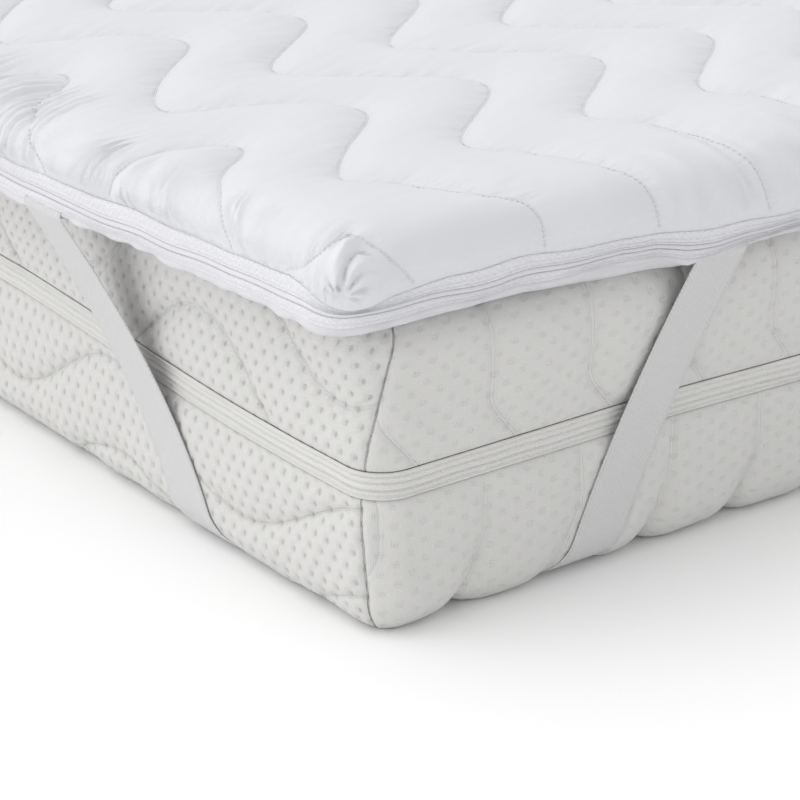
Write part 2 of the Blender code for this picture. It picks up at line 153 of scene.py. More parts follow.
def uneven(seed, shortest, longest, x, y=None):
    """Seeded unevenness of about -1 to 1, with waves between those lengths in all directions."""
    rng = np.random.default_rng(seed)
    total = np.zeros(np.shape(x))
    for length, turn, start in zip(rng.random(12), rng.random(12), rng.random(12)):
        size = shortest * (longest / shortest) ** length
        way = x if y is None else x * np.cos(math.tau * turn) + y * np.sin(math.tau * turn)
        total += np.sin(math.tau * (way / size + start))
    return total / 4.0


def uneven_round(seed, shortest, longest, along, girth):
    """The same for a band that meets itself: a whole number of waves goes round it."""
    rng = np.random.default_rng(seed)
    total = np.zeros(np.shape(along))
    for _ in range(12):
        size = shortest * (longest / shortest) ** rng.random()
        total += np.sin(math.tau * (along / girth * round(girth / size) + rng.random()))
    return total / 4.0


def outline(along, foot_x, foot_y, radius):
    """Foot point and outward direction at a distance round a rectangle with rounded corners.

    It runs anticlockwise from the left end of the front side.
    """
    turn = math.pi / 2 * radius
    stops = np.cumsum([0, 2 * foot_x, turn, 2 * foot_y, turn, 2 * foot_x, turn, 2 * foot_y, turn])
    along = np.mod(along, stops[-1])
    x = np.interp(along, stops, foot_x * np.array([-1, 1, 1, 1, 1, -1, -1, -1, -1]))
    y = np.interp(along, stops, foot_y * np.array([-1, -1, -1, 1, 1, 1, 1, -1, -1]))
    angle = np.radians(np.interp(along, stops, [-90, -90, 0, 0, 90, 90, 180, 180, 270]))
    return x, y, np.cos(angle), np.sin(angle)


def waist_at(station):
    """How far the long sides draw in, away from the corners."""
    return WAIST * station[2] ** 2 * smooth(0.15, 0.60, MATTRESS_HALF[1] - np.abs(station[1]))


def mattress_place(station, out, height):
    """A point of the mattress's side, out from its nominal face, with the seam's own rise and fall."""
    foot_x, foot_y, dir_x, dir_y = station
    near = 1.0 - np.minimum(1.0, np.abs(height - SEAM_LEVEL) / SEAM_SPREAD)
    along_x, along_y = foot_x + MATTRESS_HALF[0], foot_y + MATTRESS_HALF[1]
    climb = SEAM_CLIMB_LEFT * dir_x**2 * (dir_x < 0)
    climb = climb * smooth(0.08, 0.55, along_y) * fade(0.9, 1.7, along_y)
    fall = SEAM_DROP_FRONT * dir_y**2 * (dir_y < 0)
    fall = fall * smooth(0.2, 0.5, along_x) * fade(0.55, 0.85, along_x)
    reach = MATTRESS_CORNER + out - waist_at(station)
    x = MATTRESS_MIDDLE[0] + foot_x + dir_x * reach
    y = MATTRESS_MIDDLE[1] + foot_y + dir_y * reach
    return np.stack([x, y, height + (climb - fall) * near], axis=-1)


@contextlib.contextmanager
def reshaped(mesh):
    """Opens a mesh to bmesh's operators, and writes what they make back to it."""
    bm = bmesh.new()
    bm.from_mesh(mesh)
    yield bm
    bm.to_mesh(mesh)
    bm.free()


def points_of(mesh):
    points = np.empty(len(mesh.vertices) * 3)
    mesh.vertices.foreach_get("co", points)
    return points.reshape(-1, 3)


def mark_points(mesh, name, values):
    """Keeps a value at each point for the material to read."""
    mesh.attributes.new(name, "FLOAT", "POINT").data.foreach_set("value", values)


def cloth_grid(name, columns, rows, place, marks=None):
    """A grid of cloth. columns and rows are where its lines lie on the unrolled cloth.

    place gives each point of columns x rows its place in the room, and marks gives values by
    name for the material.
    """
    mesh = bpy.data.meshes.new(name)
    with reshaped(mesh) as bm:
        bmesh.ops.create_grid(bm, x_segments=len(columns) - 1, y_segments=len(rows) - 1, size=0.5)
    points = points_of(mesh)
    column = np.rint((points[:, 0] + 0.5) * (len(columns) - 1)).astype(int)
    row = np.rint((points[:, 1] + 0.5) * (len(rows) - 1)).astype(int)
    finish_cloth(mesh, place(column, row), np.stack([columns[column], rows[row]], axis=-1))
    for mark, values in (marks(column, row) if marks else {}).items():
        mark_points(mesh, mark, values)
    return mesh


def finish_cloth(mesh, points, flat):
    """Puts a mesh's points in place, and lays its unrolled points down as the UV map "cloth"."""
    mesh.vertices.foreach_set("co", points.ravel())
    corners = np.empty(len(mesh.loops), int)
    mesh.loops.foreach_get("vertex_index", corners)
    layer = mesh.uv_layers.get("cloth") or mesh.uv_layers.new(name="cloth")
    layer.data.foreach_set("uv", flat[corners].ravel())


def closed_cloth(mesh, caps=True):
    """Joins a band's two ends, closes its open loops and turns its faces outwards."""
    with reshaped(mesh) as bm:
        bmesh.ops.remove_doubles(bm, verts=bm.verts, dist=1e-5)
        if caps:
            bmesh.ops.holes_fill(bm, edges=bm.edges, sides=0)
        bmesh.ops.recalc_face_normals(bm, faces=bm.faces)
    mesh.shade_smooth()
    return mesh


def show(mesh, material, slot, *replaced):
    """A finished piece of the object, with its material, riding on the one rigid body."""
    piece = bpy.data.objects.new(mesh.name, mesh)
    bpy.context.scene.collection.objects.link(piece)
    mesh.materials.append(material)
    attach(piece, "root")
    if replaced:
        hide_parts(*replaced)
    return piece


class Signal:
    """A socket of a material. Arithmetic on it adds the Math nodes that it needs."""

    def __init__(self, tree, socket=None):
        self.tree = tree
        self.socket = socket

    def node(self, kind, settings, inputs, output=0):
        """Adds a node: its settings first, then its inputs' values or links."""
        node = self.tree.nodes.new("ShaderNode" + kind)
        for name, value in settings.items():
            setattr(node, name, value)
        for name, value in inputs.items():
            if isinstance(value, Signal):
                self.tree.links.new(value.socket, node.inputs[name])
            else:
                node.inputs[name].default_value = value
        return Signal(self.tree, node.outputs[output])

    def maths(self, operation, first, second=0.0):
        return self.node("Math", {"operation": operation}, {0: first, 1: second})

    def __add__(self, other):
        return self.maths("ADD", self, other)

    def __sub__(self, other):
        return self.maths("SUBTRACT", self, other)

    def __rsub__(self, other):
        return self.maths("SUBTRACT", other, self)

    def __mul__(self, other):
        return self.maths("MULTIPLY", self, other)

    def __truediv__(self, other):
        return self.maths("DIVIDE", self, other)

    def __abs__(self):
        return self.maths("ABSOLUTE", self)

    __radd__ = __add__
    __rmul__ = __mul__

    def floor(self):
        return self.maths("FLOOR", self)

    def fraction(self):
        return self.maths("FRACT", self)

    def sine(self, length):
        """A wave of -1 to 1 along a distance in metres."""
        return self.maths("SINE", self * (math.tau / length))

    def cosine(self, length):
        return self.maths("COSINE", self * (math.tau / length))

    def ramp(self, low, high):
        """From 0 at low to 1 at high, eased, or the other way round where low is higher."""
        values = {"Value": self, "From Min": min(low, high), "From Max": max(low, high)}
        values |= {"To Min": float(low > high), "To Max": float(low < high)}
        return self.node("MapRange", {"interpolation_type": "SMOOTHSTEP"}, values)

    def noise(self, scale, detail=2.0, stretch=(1.0, 1.0, 1.0)):
        """Fine grain of a place, 0 to 1, at about scale lumps a metre."""
        turned = self.node("VectorMath", {"operation": "MULTIPLY"}, {0: self, 1: stretch})
        values = {"Vector": turned, "Scale": scale, "Detail": detail, "Roughness": 0.55}
        return self.node("TexNoise", {}, values)

    def mark(self, name):
        """The value that the piece's points keep under that name."""
        return self.node("Attribute", {"attribute_name": name}, {}, 2)


def cloth_material(name, roughness, sheen=0.0):
    """A cloth's material: its shader, and the unrolled place of each point in metres."""
    material = bpy.data.materials.new(name)
    material.use_nodes = True
    tree = material.node_tree
    shader = tree.nodes["Principled BSDF"]
    shader.inputs["Roughness"].default_value = roughness
    shader.inputs["Sheen Weight"].default_value = sheen
    shader.inputs["Sheen Roughness"].default_value = 0.5
    shader.inputs["Specular IOR Level"].default_value = 0.25
    place = Signal(tree).node("UVMap", {"uv_map": "cloth"}, {})
    x = place.node("SeparateXYZ", {}, {0: place})
    y = Signal(tree, x.socket.node.outputs[1])
    return material, shader, place, x, y


def darker(colour, share):
    return tuple(share * part for part in colour)


def finish_material(shader, shade, light, dark, height, distance):
    """Links the colour, light where shade is 0 and dark at 1, and a relief in units of distance."""
    tree = shader.id_data
    inputs = {0: shade, 6: (*light, 1.0), 7: (*dark, 1.0)}
    colour = shade.node("Mix", {"data_type": "RGBA", "clamp_factor": True}, inputs, 2)
    bump = height.node("Bump", {}, {"Height": height, "Distance": distance, "Strength": 1.0})
    tree.links.new(colour.socket, shader.inputs["Base Color"])
    tree.links.new(bump.socket, shader.inputs["Normal"])


def knit_material():
    """Double knit: dents in staggered rows, turned a quarter on the long sides, over fine ribs."""
    material, shader, place, x, y = cloth_material("knit_cover", 0.92, 0.15)
    turned, seam, quilt = (place.mark(name) for name in ("turned", "corner_seam", "quilt_phase"))
    warp = (place.noise(60.0) - 0.5) * 0.0022
    across, up = x + warp, y + warp
    speckle = place.noise(1100.0).ramp(0.40, 0.62) * 0.6 + 0.4
    front = across.cosine(8 * FRONT_COLUMN) * up.cosine(4 * ROW)
    two = abs(across.sine(8 * FRONT_COLUMN)).ramp(0.10, 0.34)
    side = across.cosine(4 * SIDE_COLUMN) * up.cosine(6 * ROW)
    dent = front.ramp(0.88, 0.985) * two * speckle * (1.0 - turned)
    dent = dent + side.ramp(0.62, 0.96) * speckle * turned
    swell = side.ramp(0.95, -0.5) * turned + front.ramp(0.95, 0.3) * (1.0 - turned) * 0.7
    rib = (x + (y - x) * turned).sine(0.0017)
    grain = place.noise(900.0, 3.0)
    line = seam.ramp(0.0010, 0.0003)
    from_quilt = abs(quilt - (quilt + 0.5).floor()) * MEAN_PITCH
    crease = from_quilt.ramp(0.0018, 0.0004)
    valley = from_quilt.ramp(0.006, 0.0)
    height = swell * 0.9 - dent * 0.6 + rib * 0.05 + grain * 0.16 - line * 0.6 - crease * 0.5 - valley
    # Painted shade: the colour is darker in each dent, twice as strongly on the long sides as on the short
    # ones.
    shade = 0.14 + dent * (turned * 0.22 + 0.22) + line * 0.55 + grain * 0.1
    # Painted shade along the quilting: on the long sides each crease is painted darker; on the short sides
    # it is painted lighter.
    shade = shade + crease * (turned * 0.34 - 0.14)
    finish_material(shader, shade, KNIT_COLOUR, darker(KNIT_COLOUR, 0.72), height, 0.0010)
    return material


def corner_seam_at(height, side):
    """Distance round the mattress to a corner's seam: 0 is the front left, then anticlockwise."""
    turn = math.pi / 2 * MATTRESS_CORNER
    lean = np.interp(height, *np.array(CORNER_SEAM).T) / 90.0
    starts = np.cumsum([-turn, turn + 2 * FOOT_X, turn + 2 * FOOT_Y, turn + 2 * FOOT_X])
    starts = np.append(starts, starts[-1] + turn + 2 * FOOT_Y)
    return starts[side] + turn * (lean if side % 2 == 0 else 1.0 - lean)


def from_line(phase):
    """How far a phase is from the nearest quilting line: 0 on it, 1 half way to the next."""
    return 2.0 * np.abs(phase - np.rint(phase))


def quilted_face(point, station, height):
    """Rise of the knit between its wavy quilting, and the quilting's phase on each kind of side."""
    above = height > SEAM_LEVEL
    sway = np.where(
        above, UPPER_SWAY * smooth(0.170, 0.118, height), LOWER_SWAY * fade(0.010, 0.070, height)
    )
    front_phase = (point[:, 0] - FRONT_QUILT_X - sway) / FRONT_QUILT_PITCH
    deep = FRONT_SWELL + FOOT_SWELL * fade(0.012, 0.075, height)
    front = deep * (1.0 - (1.0 - from_line(front_phase)) ** 3.6 - 0.66)
    from_corner = MATTRESS_HALF[0] - np.abs(point[:, 0] - MATTRESS_MIDDLE[0])
    bulge = smooth(0.120, 0.195, height) * fade(0.200, MATTRESS_TOP + 0.010, height)
    front += FRONT_BULGE * bulge * smooth(0.03, 0.14, from_corner)
    waves = zip(UPPER_WAVES, LOWER_WAVES)
    crest, length, middle, depth, pitch = (np.where(above, upper, lower) for upper, lower in waves)
    level = middle + depth * np.cos(math.tau * (point[:, 1] - crest) / length)
    side_phase = (height - level) / pitch
    left = SIDE_SWELL * (1.0 - (1.0 - from_line(side_phase)) ** 4.0 - 0.70)
    left += 0.0012 * uneven(5, 0.05, 0.12, point[:, 1]) * fade(0.01, 0.06, height)
    left *= 0.30 + 0.70 * smooth(0.004, 0.050, height)
    return front * station[3] ** 2 + left * station[2] ** 2, front_phase, side_phase


def strap_line(ends, rise):
    """How far from the corner a strap's middle is, so far above the round of the lower edge."""
    top, foot = ends
    return foot + (top - foot) / (STRAP_TOP - BOTTOM_ROUND) * rise


def strap_press(point, station, height):
    """How far a strap's middle is, and how far out of the mattress's face its back lies there."""
    _, _, dir_x, dir_y = station
    from_x, from_y = (MATTRESS_HALF - np.abs(point[:, :2] - MATTRESS_MIDDLE)).T
    rise = np.maximum(height - BOTTOM_ROUND, 0.0)
    rise = rise - BOTTOM_ROUND * np.arcsin(np.clip(1.0 - height / BOTTOM_ROUND, 0.0, 1.0))
    from_long, from_short = from_y - strap_line(LONG_STRAP, rise), from_x - strap_line(SHORT_STRAP, rise)
    long_side = np.abs(dir_x) > 0.7
    past = np.where(long_side, np.where(dir_x < 0.0, *LIP_PAST_X), np.where(dir_y < 0.0, *LIP_PAST_Y))
    share = np.clip((height - STRAP_BEND) / (STRAP_TOP - STRAP_BEND), 0.0, 1.0)
    back = past * share**STRAP_SWEEP + waist_at(station) - STRAP_CLEAR
    return np.abs(np.where(long_side, from_long, from_short)), back


def strap_bed(point, station):
    """The least height of the knit's lower edge where it lies behind a strap that bends round it."""
    outward = np.abs(point[:, :2] - MATTRESS_MIDDLE) - MATTRESS_HALF
    outward = np.where(np.abs(station[2]) > 0.7, outward[:, 0], outward[:, 1])
    turned = np.clip((STRAP_CLEAR - outward) / (BOTTOM_ROUND + STRAP_CLEAR), 0.0, 1.0)
    drop = (BOTTOM_ROUND - STRAP_LOW) * np.sqrt(1.0 - (1.0 - turned) ** 2)
    return BOTTOM_ROUND - drop + 0.0003


def mattress_half(name, section, replaced):
    """One half's side: section has each row's (out, height, outward share, upward share)."""
    out, height, normal_out, normal_up = np.array(section).T
    pitches = np.array([FRONT_COLUMN, SIDE_COLUMN])
    counts = np.rint(2 * np.array([FOOT_X, FOOT_Y]) / pitches / 4).astype(int) * 4 + CORNER_COLUMNS
    widths = counts * pitches
    panels = []
    for count, width in list(zip(counts, widths)) * 2:
        close = np.array(BESIDE_SEAM) / width
        panels.append(np.sort(np.concatenate([np.arange(count) / count, close, 1.0 - close])))
    side = np.append(np.repeat(range(4), [len(panel) for panel in panels]), 3)
    share = np.append(np.concatenate(panels), 1.0)
    long_side = side % 2 == 1
    across = (share - 0.5) * widths[side % 2]
    from_seam = np.minimum(share, 1.0 - share) * widths[side % 2]
    seams = np.array([corner_seam_at(height, corner) for corner in range(5)])
    run = np.arange(len(section)) * ROW

    def face(column, row):
        """A point's station, and its place before the quilting lifts it."""
        first, last = seams[side[column], row], seams[side[column] + 1, row]
        station = outline(first + (last - first) * share[column], FOOT_X, FOOT_Y, MATTRESS_CORNER)
        return station, mattress_place(station, out[row], height[row])

    def place(column, row):
        station, level = face(column, row)
        u, v, up = across[column], run[row], height[row]
        front = np.cos(math.pi * u / (4 * FRONT_COLUMN)) * np.cos(math.tau * v / (4 * ROW))
        left = np.cos(math.tau * u / (4 * SIDE_COLUMN)) * np.cos(math.pi * v / (3 * ROW))
        dent = smooth(0.35, 1.0, np.where(long_side[column], left, front))
        dent *= np.where(long_side[column], 1.0, 0.38)
        plain = smooth(0.0, 0.012, np.abs(up - SEAM_LEVEL) - ZIP_HALF)
        rise = quilted_face(level, station, up)[0] * plain
        rise += 0.0007 * uneven(7, 0.03, 0.09, level[:, 0] + level[:, 1], level[:, 2]) * plain
        from_strap, back = strap_press(level, station, up)
        pressed = fade(PRESS_HALF, PRESS_EDGE, from_strap)
        rise += pressed * np.minimum(back - rise, 0.0)
        rise += fade(0.025, 0.052, from_strap) * fade(0.070, 0.104, up) * np.maximum(back - rise, 0.0)
        away = from_seam[column]
        rise -= SEAM_SUNK * ridge(away, SEAM_HALF) * plain
        rise += 0.0007 * ridge(away - 0.006, 0.005) * plain
        rise -= DENT * dent * plain * smooth(0.002, 0.006, away)
        outward = normal_out[row]
        way = np.stack([station[2] * outward, station[3] * outward, normal_up[row]], axis=-1)
        lifted = level + rise[:, None] * way
        bed = strap_bed(lifted, station) * pressed * (up < BOTTOM_ROUND)
        lifted[:, 2] = np.clip(lifted[:, 2], bed, MATTRESS_TOP)
        return lifted

    def marks(column, row):
        station, level = face(column, row)
        _, front_phase, side_phase = quilted_face(level, station, height[row])
        return {
            "turned": long_side[column].astype(float),
            "corner_seam": from_seam[column],
            "quilt_phase": np.where(long_side[column], side_phase, front_phase),
        }

    mesh = closed_cloth(cloth_grid(name, across, run, place, marks))
    show(mesh, knit, "knit_cover", replaced)


def rounded_edge(radius, height, rising):
    """Rows round an edge, from the flat face to the upright side."""
    steps = round(radius * math.pi / 2 / ROW)
    rows = []
    for angle in np.linspace(0.0, math.pi / 2, steps + 1):
        inset, rise = radius * (1 - math.sin(angle)), radius * (1 - math.cos(angle))
        rows.append((-inset, height + rising * rise, math.sin(angle), -rising * math.cos(angle)))
    return rows


def upright(low, high):
    steps = round((high - low) / ROW)
    return [(0.0, low + (high - low) * step / steps, 1.0, 0.0) for step in range(1, steps + 1)]


def groove_side(edge, way):
    """Rows of the knit from the zip's groove out to the face, upwards or downwards."""
    return [(out, edge + way * away, level, -way * lift) for out, away, level, lift in GROOVE_SIDE]


knit = knit_material()
zip_low, zip_high = SEAM_LEVEL - ZIP_HALF, SEAM_LEVEL + ZIP_HALF
lower = [(CAP_OUT, CAP_HEIGHT, 0, 0), (CAP_OUT, 0.0, 0, 0)]
lower += rounded_edge(BOTTOM_ROUND, 0.0, 1) + upright(BOTTOM_ROUND, zip_low - GROOVE_REACH)
lower += groove_side(zip_low, -1)[::-1]
lower += [(GROOVE_OUT, zip_low, 0, 0), (GROOVE_OUT, SEAM_LEVEL - 0.0003, 0, 0)]
upper = [(GROOVE_OUT, SEAM_LEVEL, 0, 0), (GROOVE_OUT, zip_high, 0, 0)]
upper += groove_side(zip_high, 1) + [(0.0, zip_high + GROOVE_REACH, 1, 0)]
upper += upright(zip_high + GROOVE_REACH, MATTRESS_TOP - TOP_ROUND)
upper += rounded_edge(TOP_ROUND, MATTRESS_TOP, -1)[-2::-1]
mattress_half("mattress_knit_lower", lower, "mattress_lower")
mattress_half("mattress_knit_upper", upper, "mattress_upper")

# Mattress underside
# A plain panel of the same knit that closes the mattress below. The four straps run across its
# corners and press shallow beds into it.

BED, BED_HALF, BED_EDGE = 0.0024, 0.030, 0.042
RIM_LIFT, RIM_PAST = 0.0004, 0.004

UNDER_X, UNDER_Y = FOOT_X + RIM_PAST, FOOT_Y + RIM_PAST


def underside_place(x, y):
    """A point of the panel: it rises a little at its rim, and over each strap's bed."""
    over = np.stack([np.abs(x) - FOOT_X, np.abs(y) - FOOT_Y], axis=-1).clip(0.0)
    over /= np.maximum(np.hypot(*over.T) / RIM_PAST, 1.0)[:, None]
    foot = np.stack([np.clip(x, -FOOT_X, FOOT_X), np.clip(y, -FOOT_Y, FOOT_Y)], axis=-1)
    spot = foot + over * np.sign(foot)
    turned = -BOTTOM_ROUND * math.pi / 2
    first = np.array([BOTTOM_ROUND, strap_line(LONG_STRAP, turned)])
    last = np.array([strap_line(SHORT_STRAP, turned), BOTTOM_ROUND])
    way = (last - first) / np.hypot(*(last - first))
    away = np.abs((MATTRESS_HALF - np.abs(spot) - first) @ np.array([-way[1], way[0]]))
    from_rim = np.minimum(UNDER_X - np.abs(x), UNDER_Y - np.abs(y))
    rise = RIM_LIFT * fade(0.008, 0.017, from_rim) + BED * fade(BED_HALF, BED_EDGE, away)
    return np.column_stack([spot + MATTRESS_MIDDLE, rise])


def give_thickness(piece, thickness, offset, even=False):
    wall = piece.modifiers.new("thickness", "SOLIDIFY")
    wall.thickness = thickness
    wall.offset = offset
    wall.use_even_offset = even


across = np.linspace(-UNDER_X, UNDER_X, 100)
along = np.linspace(-UNDER_Y, UNDER_Y, 220)
mesh = cloth_grid(
    "mattress_underside",
    across,
    along,
    lambda column, row: underside_place(across[column], along[row]),
    lambda column, row: {"corner_seam": np.ones(len(row)), "quilt_phase": np.full(len(row), 0.5)},
)
mesh.shade_smooth()
underside = show(mesh, knit, "knit_cover")
give_thickness(underside, 0.0015, 1.0)

# Mattress zip
# The mattress cover's own zip, sewn flush between the halves: two ribbed tapes, and between
# them the covered coil as a round ridge between two grooves.

ZIP_COLOUR = (0.735, 0.730, 0.712)
ZIP_SECTION = [
    # out from the mattress's face and up from the band's middle, in mm
    (-3.0, -10.7), (-2.1, -10.1), (-1.5, -9.2), (-1.3, -8.2), (-2.6, -7.2),
    (-2.0, -6.0), (-1.8, -4.4), (-3.2, -3.3), (-1.7, -2.0), (-1.3, -0.5),
    (-1.7, 1.0), (-3.2, 2.3), (-2.0, 3.4), (-1.8, 6.0), (-2.8, 7.3),
    (-1.5, 8.4), (-1.7, 9.4), (-2.1, 10.1), (-3.0, 10.7),
]
# Further than this from the middle, the band is tucked in behind the knit
ZIP_TUCKED = 0.0095
ZIP_SWELL = 0.0004


def band_material(name, colour, rib, coarse, check):
    """Woven tape: ribs along it, a grain of that coarseness, and a basket weave of that strength."""
    material, shader, place, x, y = cloth_material(name, 0.78, 0.1)
    ribs = y.sine(rib)
    grain = place.noise(620.0, 2.0, (0.8, 1.2, 1.0)).ramp(0.34, 0.66)
    checks = x.sine(0.0062) * y.sine(0.0050)
    shade = 0.22 * coarse - grain * (0.22 * coarse) - ribs * (0.05 * coarse) + checks * check
    finish_material(shader, shade, colour, darker(colour, 0.55), ribs * 0.3 + grain * coarse, 0.0003)
    return material


def run_along(*line):
    """Distance from a line's first point to each of its points."""
    return np.append(0.0, np.cumsum(np.hypot.reduce([np.diff(part) for part in line])))


zip_out, zip_up = 0.001 * np.array(ZIP_SECTION).T
zip_free = np.abs(zip_up) < ZIP_TUCKED
mattress_girth = 4 * (FOOT_X + FOOT_Y) + math.tau * MATTRESS_CORNER
along = np.linspace(0.0, mattress_girth, 1300)
swell = ZIP_SWELL * uneven_round(11, 0.05, 0.2, along, mattress_girth)
mesh = cloth_grid(
    "mattress_zip_band",
    along,
    run_along(zip_out, zip_up),
    lambda column, row: mattress_place(
        outline(along[column], FOOT_X, FOOT_Y, MATTRESS_CORNER),
        zip_out[row] + swell[column] * zip_free[row],
        SEAM_LEVEL + zip_up[row] + swell[(column + 40) % (len(along) - 1)] * zip_free[row],
    ),
)
zip_ribbed = band_material("mattress_zip", ZIP_COLOUR, 0.0012, 0.5, 0.0)
band = show(closed_cloth(mesh, caps=False), zip_ribbed, "mattress_zip", "mattress_zip")
give_thickness(band, 0.0005, -1.0)

# Base cloth
# The topper's underside: plain woven cloth that lies on the mattress, lifts to the edge and
# turns up in a narrow lip over the zip's lower tape, where it is sewn.

PAST_COIL = 0.0026
SHOULDER = 0.055
CORNER_INSET = 0.013
SAG_LONG = 0.004
SAG_SHORT = 0.009
BASE_COLOUR = (0.775, 0.77, 0.805)
THREAD_PITCH = 0.0008
LIP_BOTTOM = 0.2432
LIP_SECTION = [
    # out from the topper's widest line, height and share in the ruffle, in mm
    (-30.0, 237.8, 0.0), (-20.0, 238.6, 0.0), (-12.0, 240.0, 0.2), (-6.4, 241.2, 0.5), (-3.6, 242.0, 1.0),
    (-2.3, 243.2, 1.0), (-1.8, 245.0, 0.8), (-2.0, 246.8, 0.4), (-2.8, 248.2, 0.1), (-3.8, 248.6, 0.0),
]
BAND_HEIGHTS = (0.2420, 0.2597, 0.2738)
CORNER_DROOP = 0.0072
BAND_WAVES = [
    # distance from the corner; rise in mm of lip, coil and tuck on a long side, then a short one
    (0.055, -0.7, -1.7, -2.9, 4.9, 0.6, -4.8),
    (0.075, -0.4, -2.0, 1.4, 5.1, 0.6, -3.7),
    (0.110, 1.8, -1.5, 0.3, 5.8, -0.6, -1.3),
    (0.150, 0.3, -2.5, -1.3, 6.2, -1.8, -0.9),
    (0.190, 0.8, -2.7, -0.9, 4.9, 0.8, -0.6),
    (0.225, 3.0, -2.0, 2.0, 10.8, 2.4, -0.5),
    (0.255, 4.6, -1.4, 3.3, 13.5, 5.8, 2.1),
    (0.285, 6.0, -0.9, 4.0, 13.5, 5.2, 1.9),
    (0.315, 6.2, -0.5, 3.3, 5.0, -0.2, -0.8),
    (0.345, 4.6, -0.2, 2.4, 5.7, -2.9, -3.6),
    (0.375, 2.5, 0.0, 1.6, 7.8, -3.0, -4.7),
    (0.415, 0.5, 0.0, 0.5, 10.8, -2.1, -7.3),
    (0.470, 0.0, 0.0, 0.0, 9.0, -2.0, -7.0),
]

TOPPER_HALF = np.array(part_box("zip_coil")[1])[:2] + PAST_COIL
INNER_X, INNER_Y = TOPPER_HALF - SHOULDER
rim_girth = 4 * (INNER_X + INNER_Y) + math.tau * SHOULDER


def corner_gaps(station):
    """How far a station is from the topper's corner, across the bed and along it."""
    return TOPPER_HALF[0] - np.abs(station[0]), TOPPER_HALF[1] - np.abs(station[1])


def edge_place(station, out, height, sink=1.0):
    """A point near the topper's edge: out is from its widest line, drawn in at each corner."""
    foot_x, foot_y, dir_x, dir_y = station
    from_x, from_y = corner_gaps(station)
    weight = dir_x**2
    inset = CORNER_INSET * fade(0.12, 0.36, weight * from_y + (1.0 - weight) * from_x)
    sag = weight * SAG_LONG * smooth(0.15, 0.32, from_y)
    sag = sag + (1.0 - weight) * SAG_SHORT * smooth(0.15, 0.32, from_x)
    reach = (SHOULDER + out) * (1.0 - inset / SHOULDER)
    return np.stack([foot_x + dir_x * reach, foot_y + dir_y * reach, height - sag * sink], axis=-1)


def band_rise(station, height):
    """How far the zip band stands above its even level, as the corners and the straps pull it."""
    from_x, from_y = corner_gaps(station)
    dir_x, dir_y = station[2:]
    places, *waves = np.array(BAND_WAVES).T
    lip, coil, tuck = (
        0.001 * (np.interp(from_y, places, first) * dir_x**2 + np.interp(from_x, places, last) * dir_y**2)
        for first, last in zip(waves[:3], waves[3:])
    )
    tuck = tuck - CORNER_DROOP * np.abs(2 * dir_x * dir_y)
    share = np.interp(height, BAND_HEIGHTS, (0.0, 1.0, 2.0))
    below, above = np.clip(1.0 - share, 0.0, 1.0), np.clip(share - 1.0, 0.0, 1.0)
    return lip * below + coil * (1.0 - below - above) + tuck * above


def rim_wave(along):
    """The slow rise and fall that the zip band and the cover above it share."""
    return 0.0007 * uneven_round(22, 0.06, 0.25, along, rim_girth)


def rim_place(along, out, height, ruffle=0.0):
    """A point of the edge band, with the unevenness that its cloths share."""
    station = outline(along, INNER_X, INNER_Y, SHOULDER)
    height = height + band_rise(station, height) * smooth(-0.030, -0.006, out) + rim_wave(along)
    height = height + ruffle * uneven_round(24, 0.024, 0.062, along, rim_girth)
    out = out + 0.0006 * uneven_round(21, 0.05, 0.2, along, rim_girth)
    out = out + 0.7 * ruffle * uneven_round(23, 0.022, 0.050, along, rim_girth)
    return edge_place(station, out, height)


def rim_band(name, along, out, height, ruffle=0.0):
    """A band round the topper. out and height are those of its rows, outside upwards."""
    ruffle = np.broadcast_to(ruffle, np.shape(out))
    return cloth_grid(
        name,
        along,
        run_along(out, height),
        lambda column, row: rim_place(along[column], out[row], height[row], ruffle[row]),
    )


def base_material():
    """Plain woven cloth: two crossing sets of threads and a soft unevenness."""
    material, shader, place, x, y = cloth_material("base_cloth", 0.85, 0.2)
    weave = x.sine(THREAD_PITCH) * y.sine(THREAD_PITCH)
    grain = place.noise(500.0, 3.0)
    shade, height = weave * 0.05 + grain * 0.16, weave * 0.5 + grain * 0.7
    finish_material(shader, shade, BASE_COLOUR, darker(BASE_COLOUR, 0.72), height, 0.0002)
    return material


along = np.linspace(0.0, rim_girth, 1301)
mesh = rim_band("topper_base_cloth", along, *(0.001 * np.array(LIP_SECTION).T))
with reshaped(mesh) as bm:
    bmesh.ops.remove_doubles(bm, verts=bm.verts, dist=1e-5)
    inner = [edge for edge in bm.edges if edge.is_boundary and edge.verts[0].co.z < 0.2400]
    bmesh.ops.contextual_create(bm, geom=inner)
    bmesh.ops.recalc_face_normals(bm, faces=bm.faces)
    if min(bm.faces, key=lambda face: face.calc_center_median().z).normal.z > 0:
        bmesh.ops.reverse_faces(bm, faces=bm.faces)
mesh.shade_smooth()
base = show(mesh, base_material(), "base_cloth", "topper_base")
give_thickness(base, 0.0007, -1.0)

# Topper zip
# A nylon coil zip all round the edge, closed, its slider out of sight. The upper tape is sewn
# into the tuck under the quilted side and the lower tape behind the base cloth's lip.

BAND_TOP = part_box("zip_tape_upper")[1][2]
COIL_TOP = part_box("zip_coil")[1][2]
COIL_BOTTOM = COIL_TOP - 0.0045
TAPE_BACK = -0.0054
TAPE_GAP = 0.0002
TAPE_COLOUR = (0.825, 0.825, 0.862)
UPPER_TAPE = [
    # out from the topper's widest line and up from the coil's top, in mm
    (-2.7, 0.9), (-2.5, 1.6), (-3.3, 2.4), (-2.6, 3.4), (-2.5, 4.8), (-3.1, 5.7), (-2.6, 6.6), (-2.5, 9.6),
]
LOWER_TAPE = [
    # out from the topper's widest line and height, in mm
    (-4.4, 246.6), (-3.4, 247.8), (-2.7, 249.0), (-2.6, 250.6), (-3.2, 251.6),
    (-2.6, 252.6), (-2.4, 254.6), (-2.4, 256.0), (-2.8, 256.9),
]
COIL_COLOUR, COIL_SHADE = (0.80, 0.80, 0.83), (0.6, 0.6, 0.62)
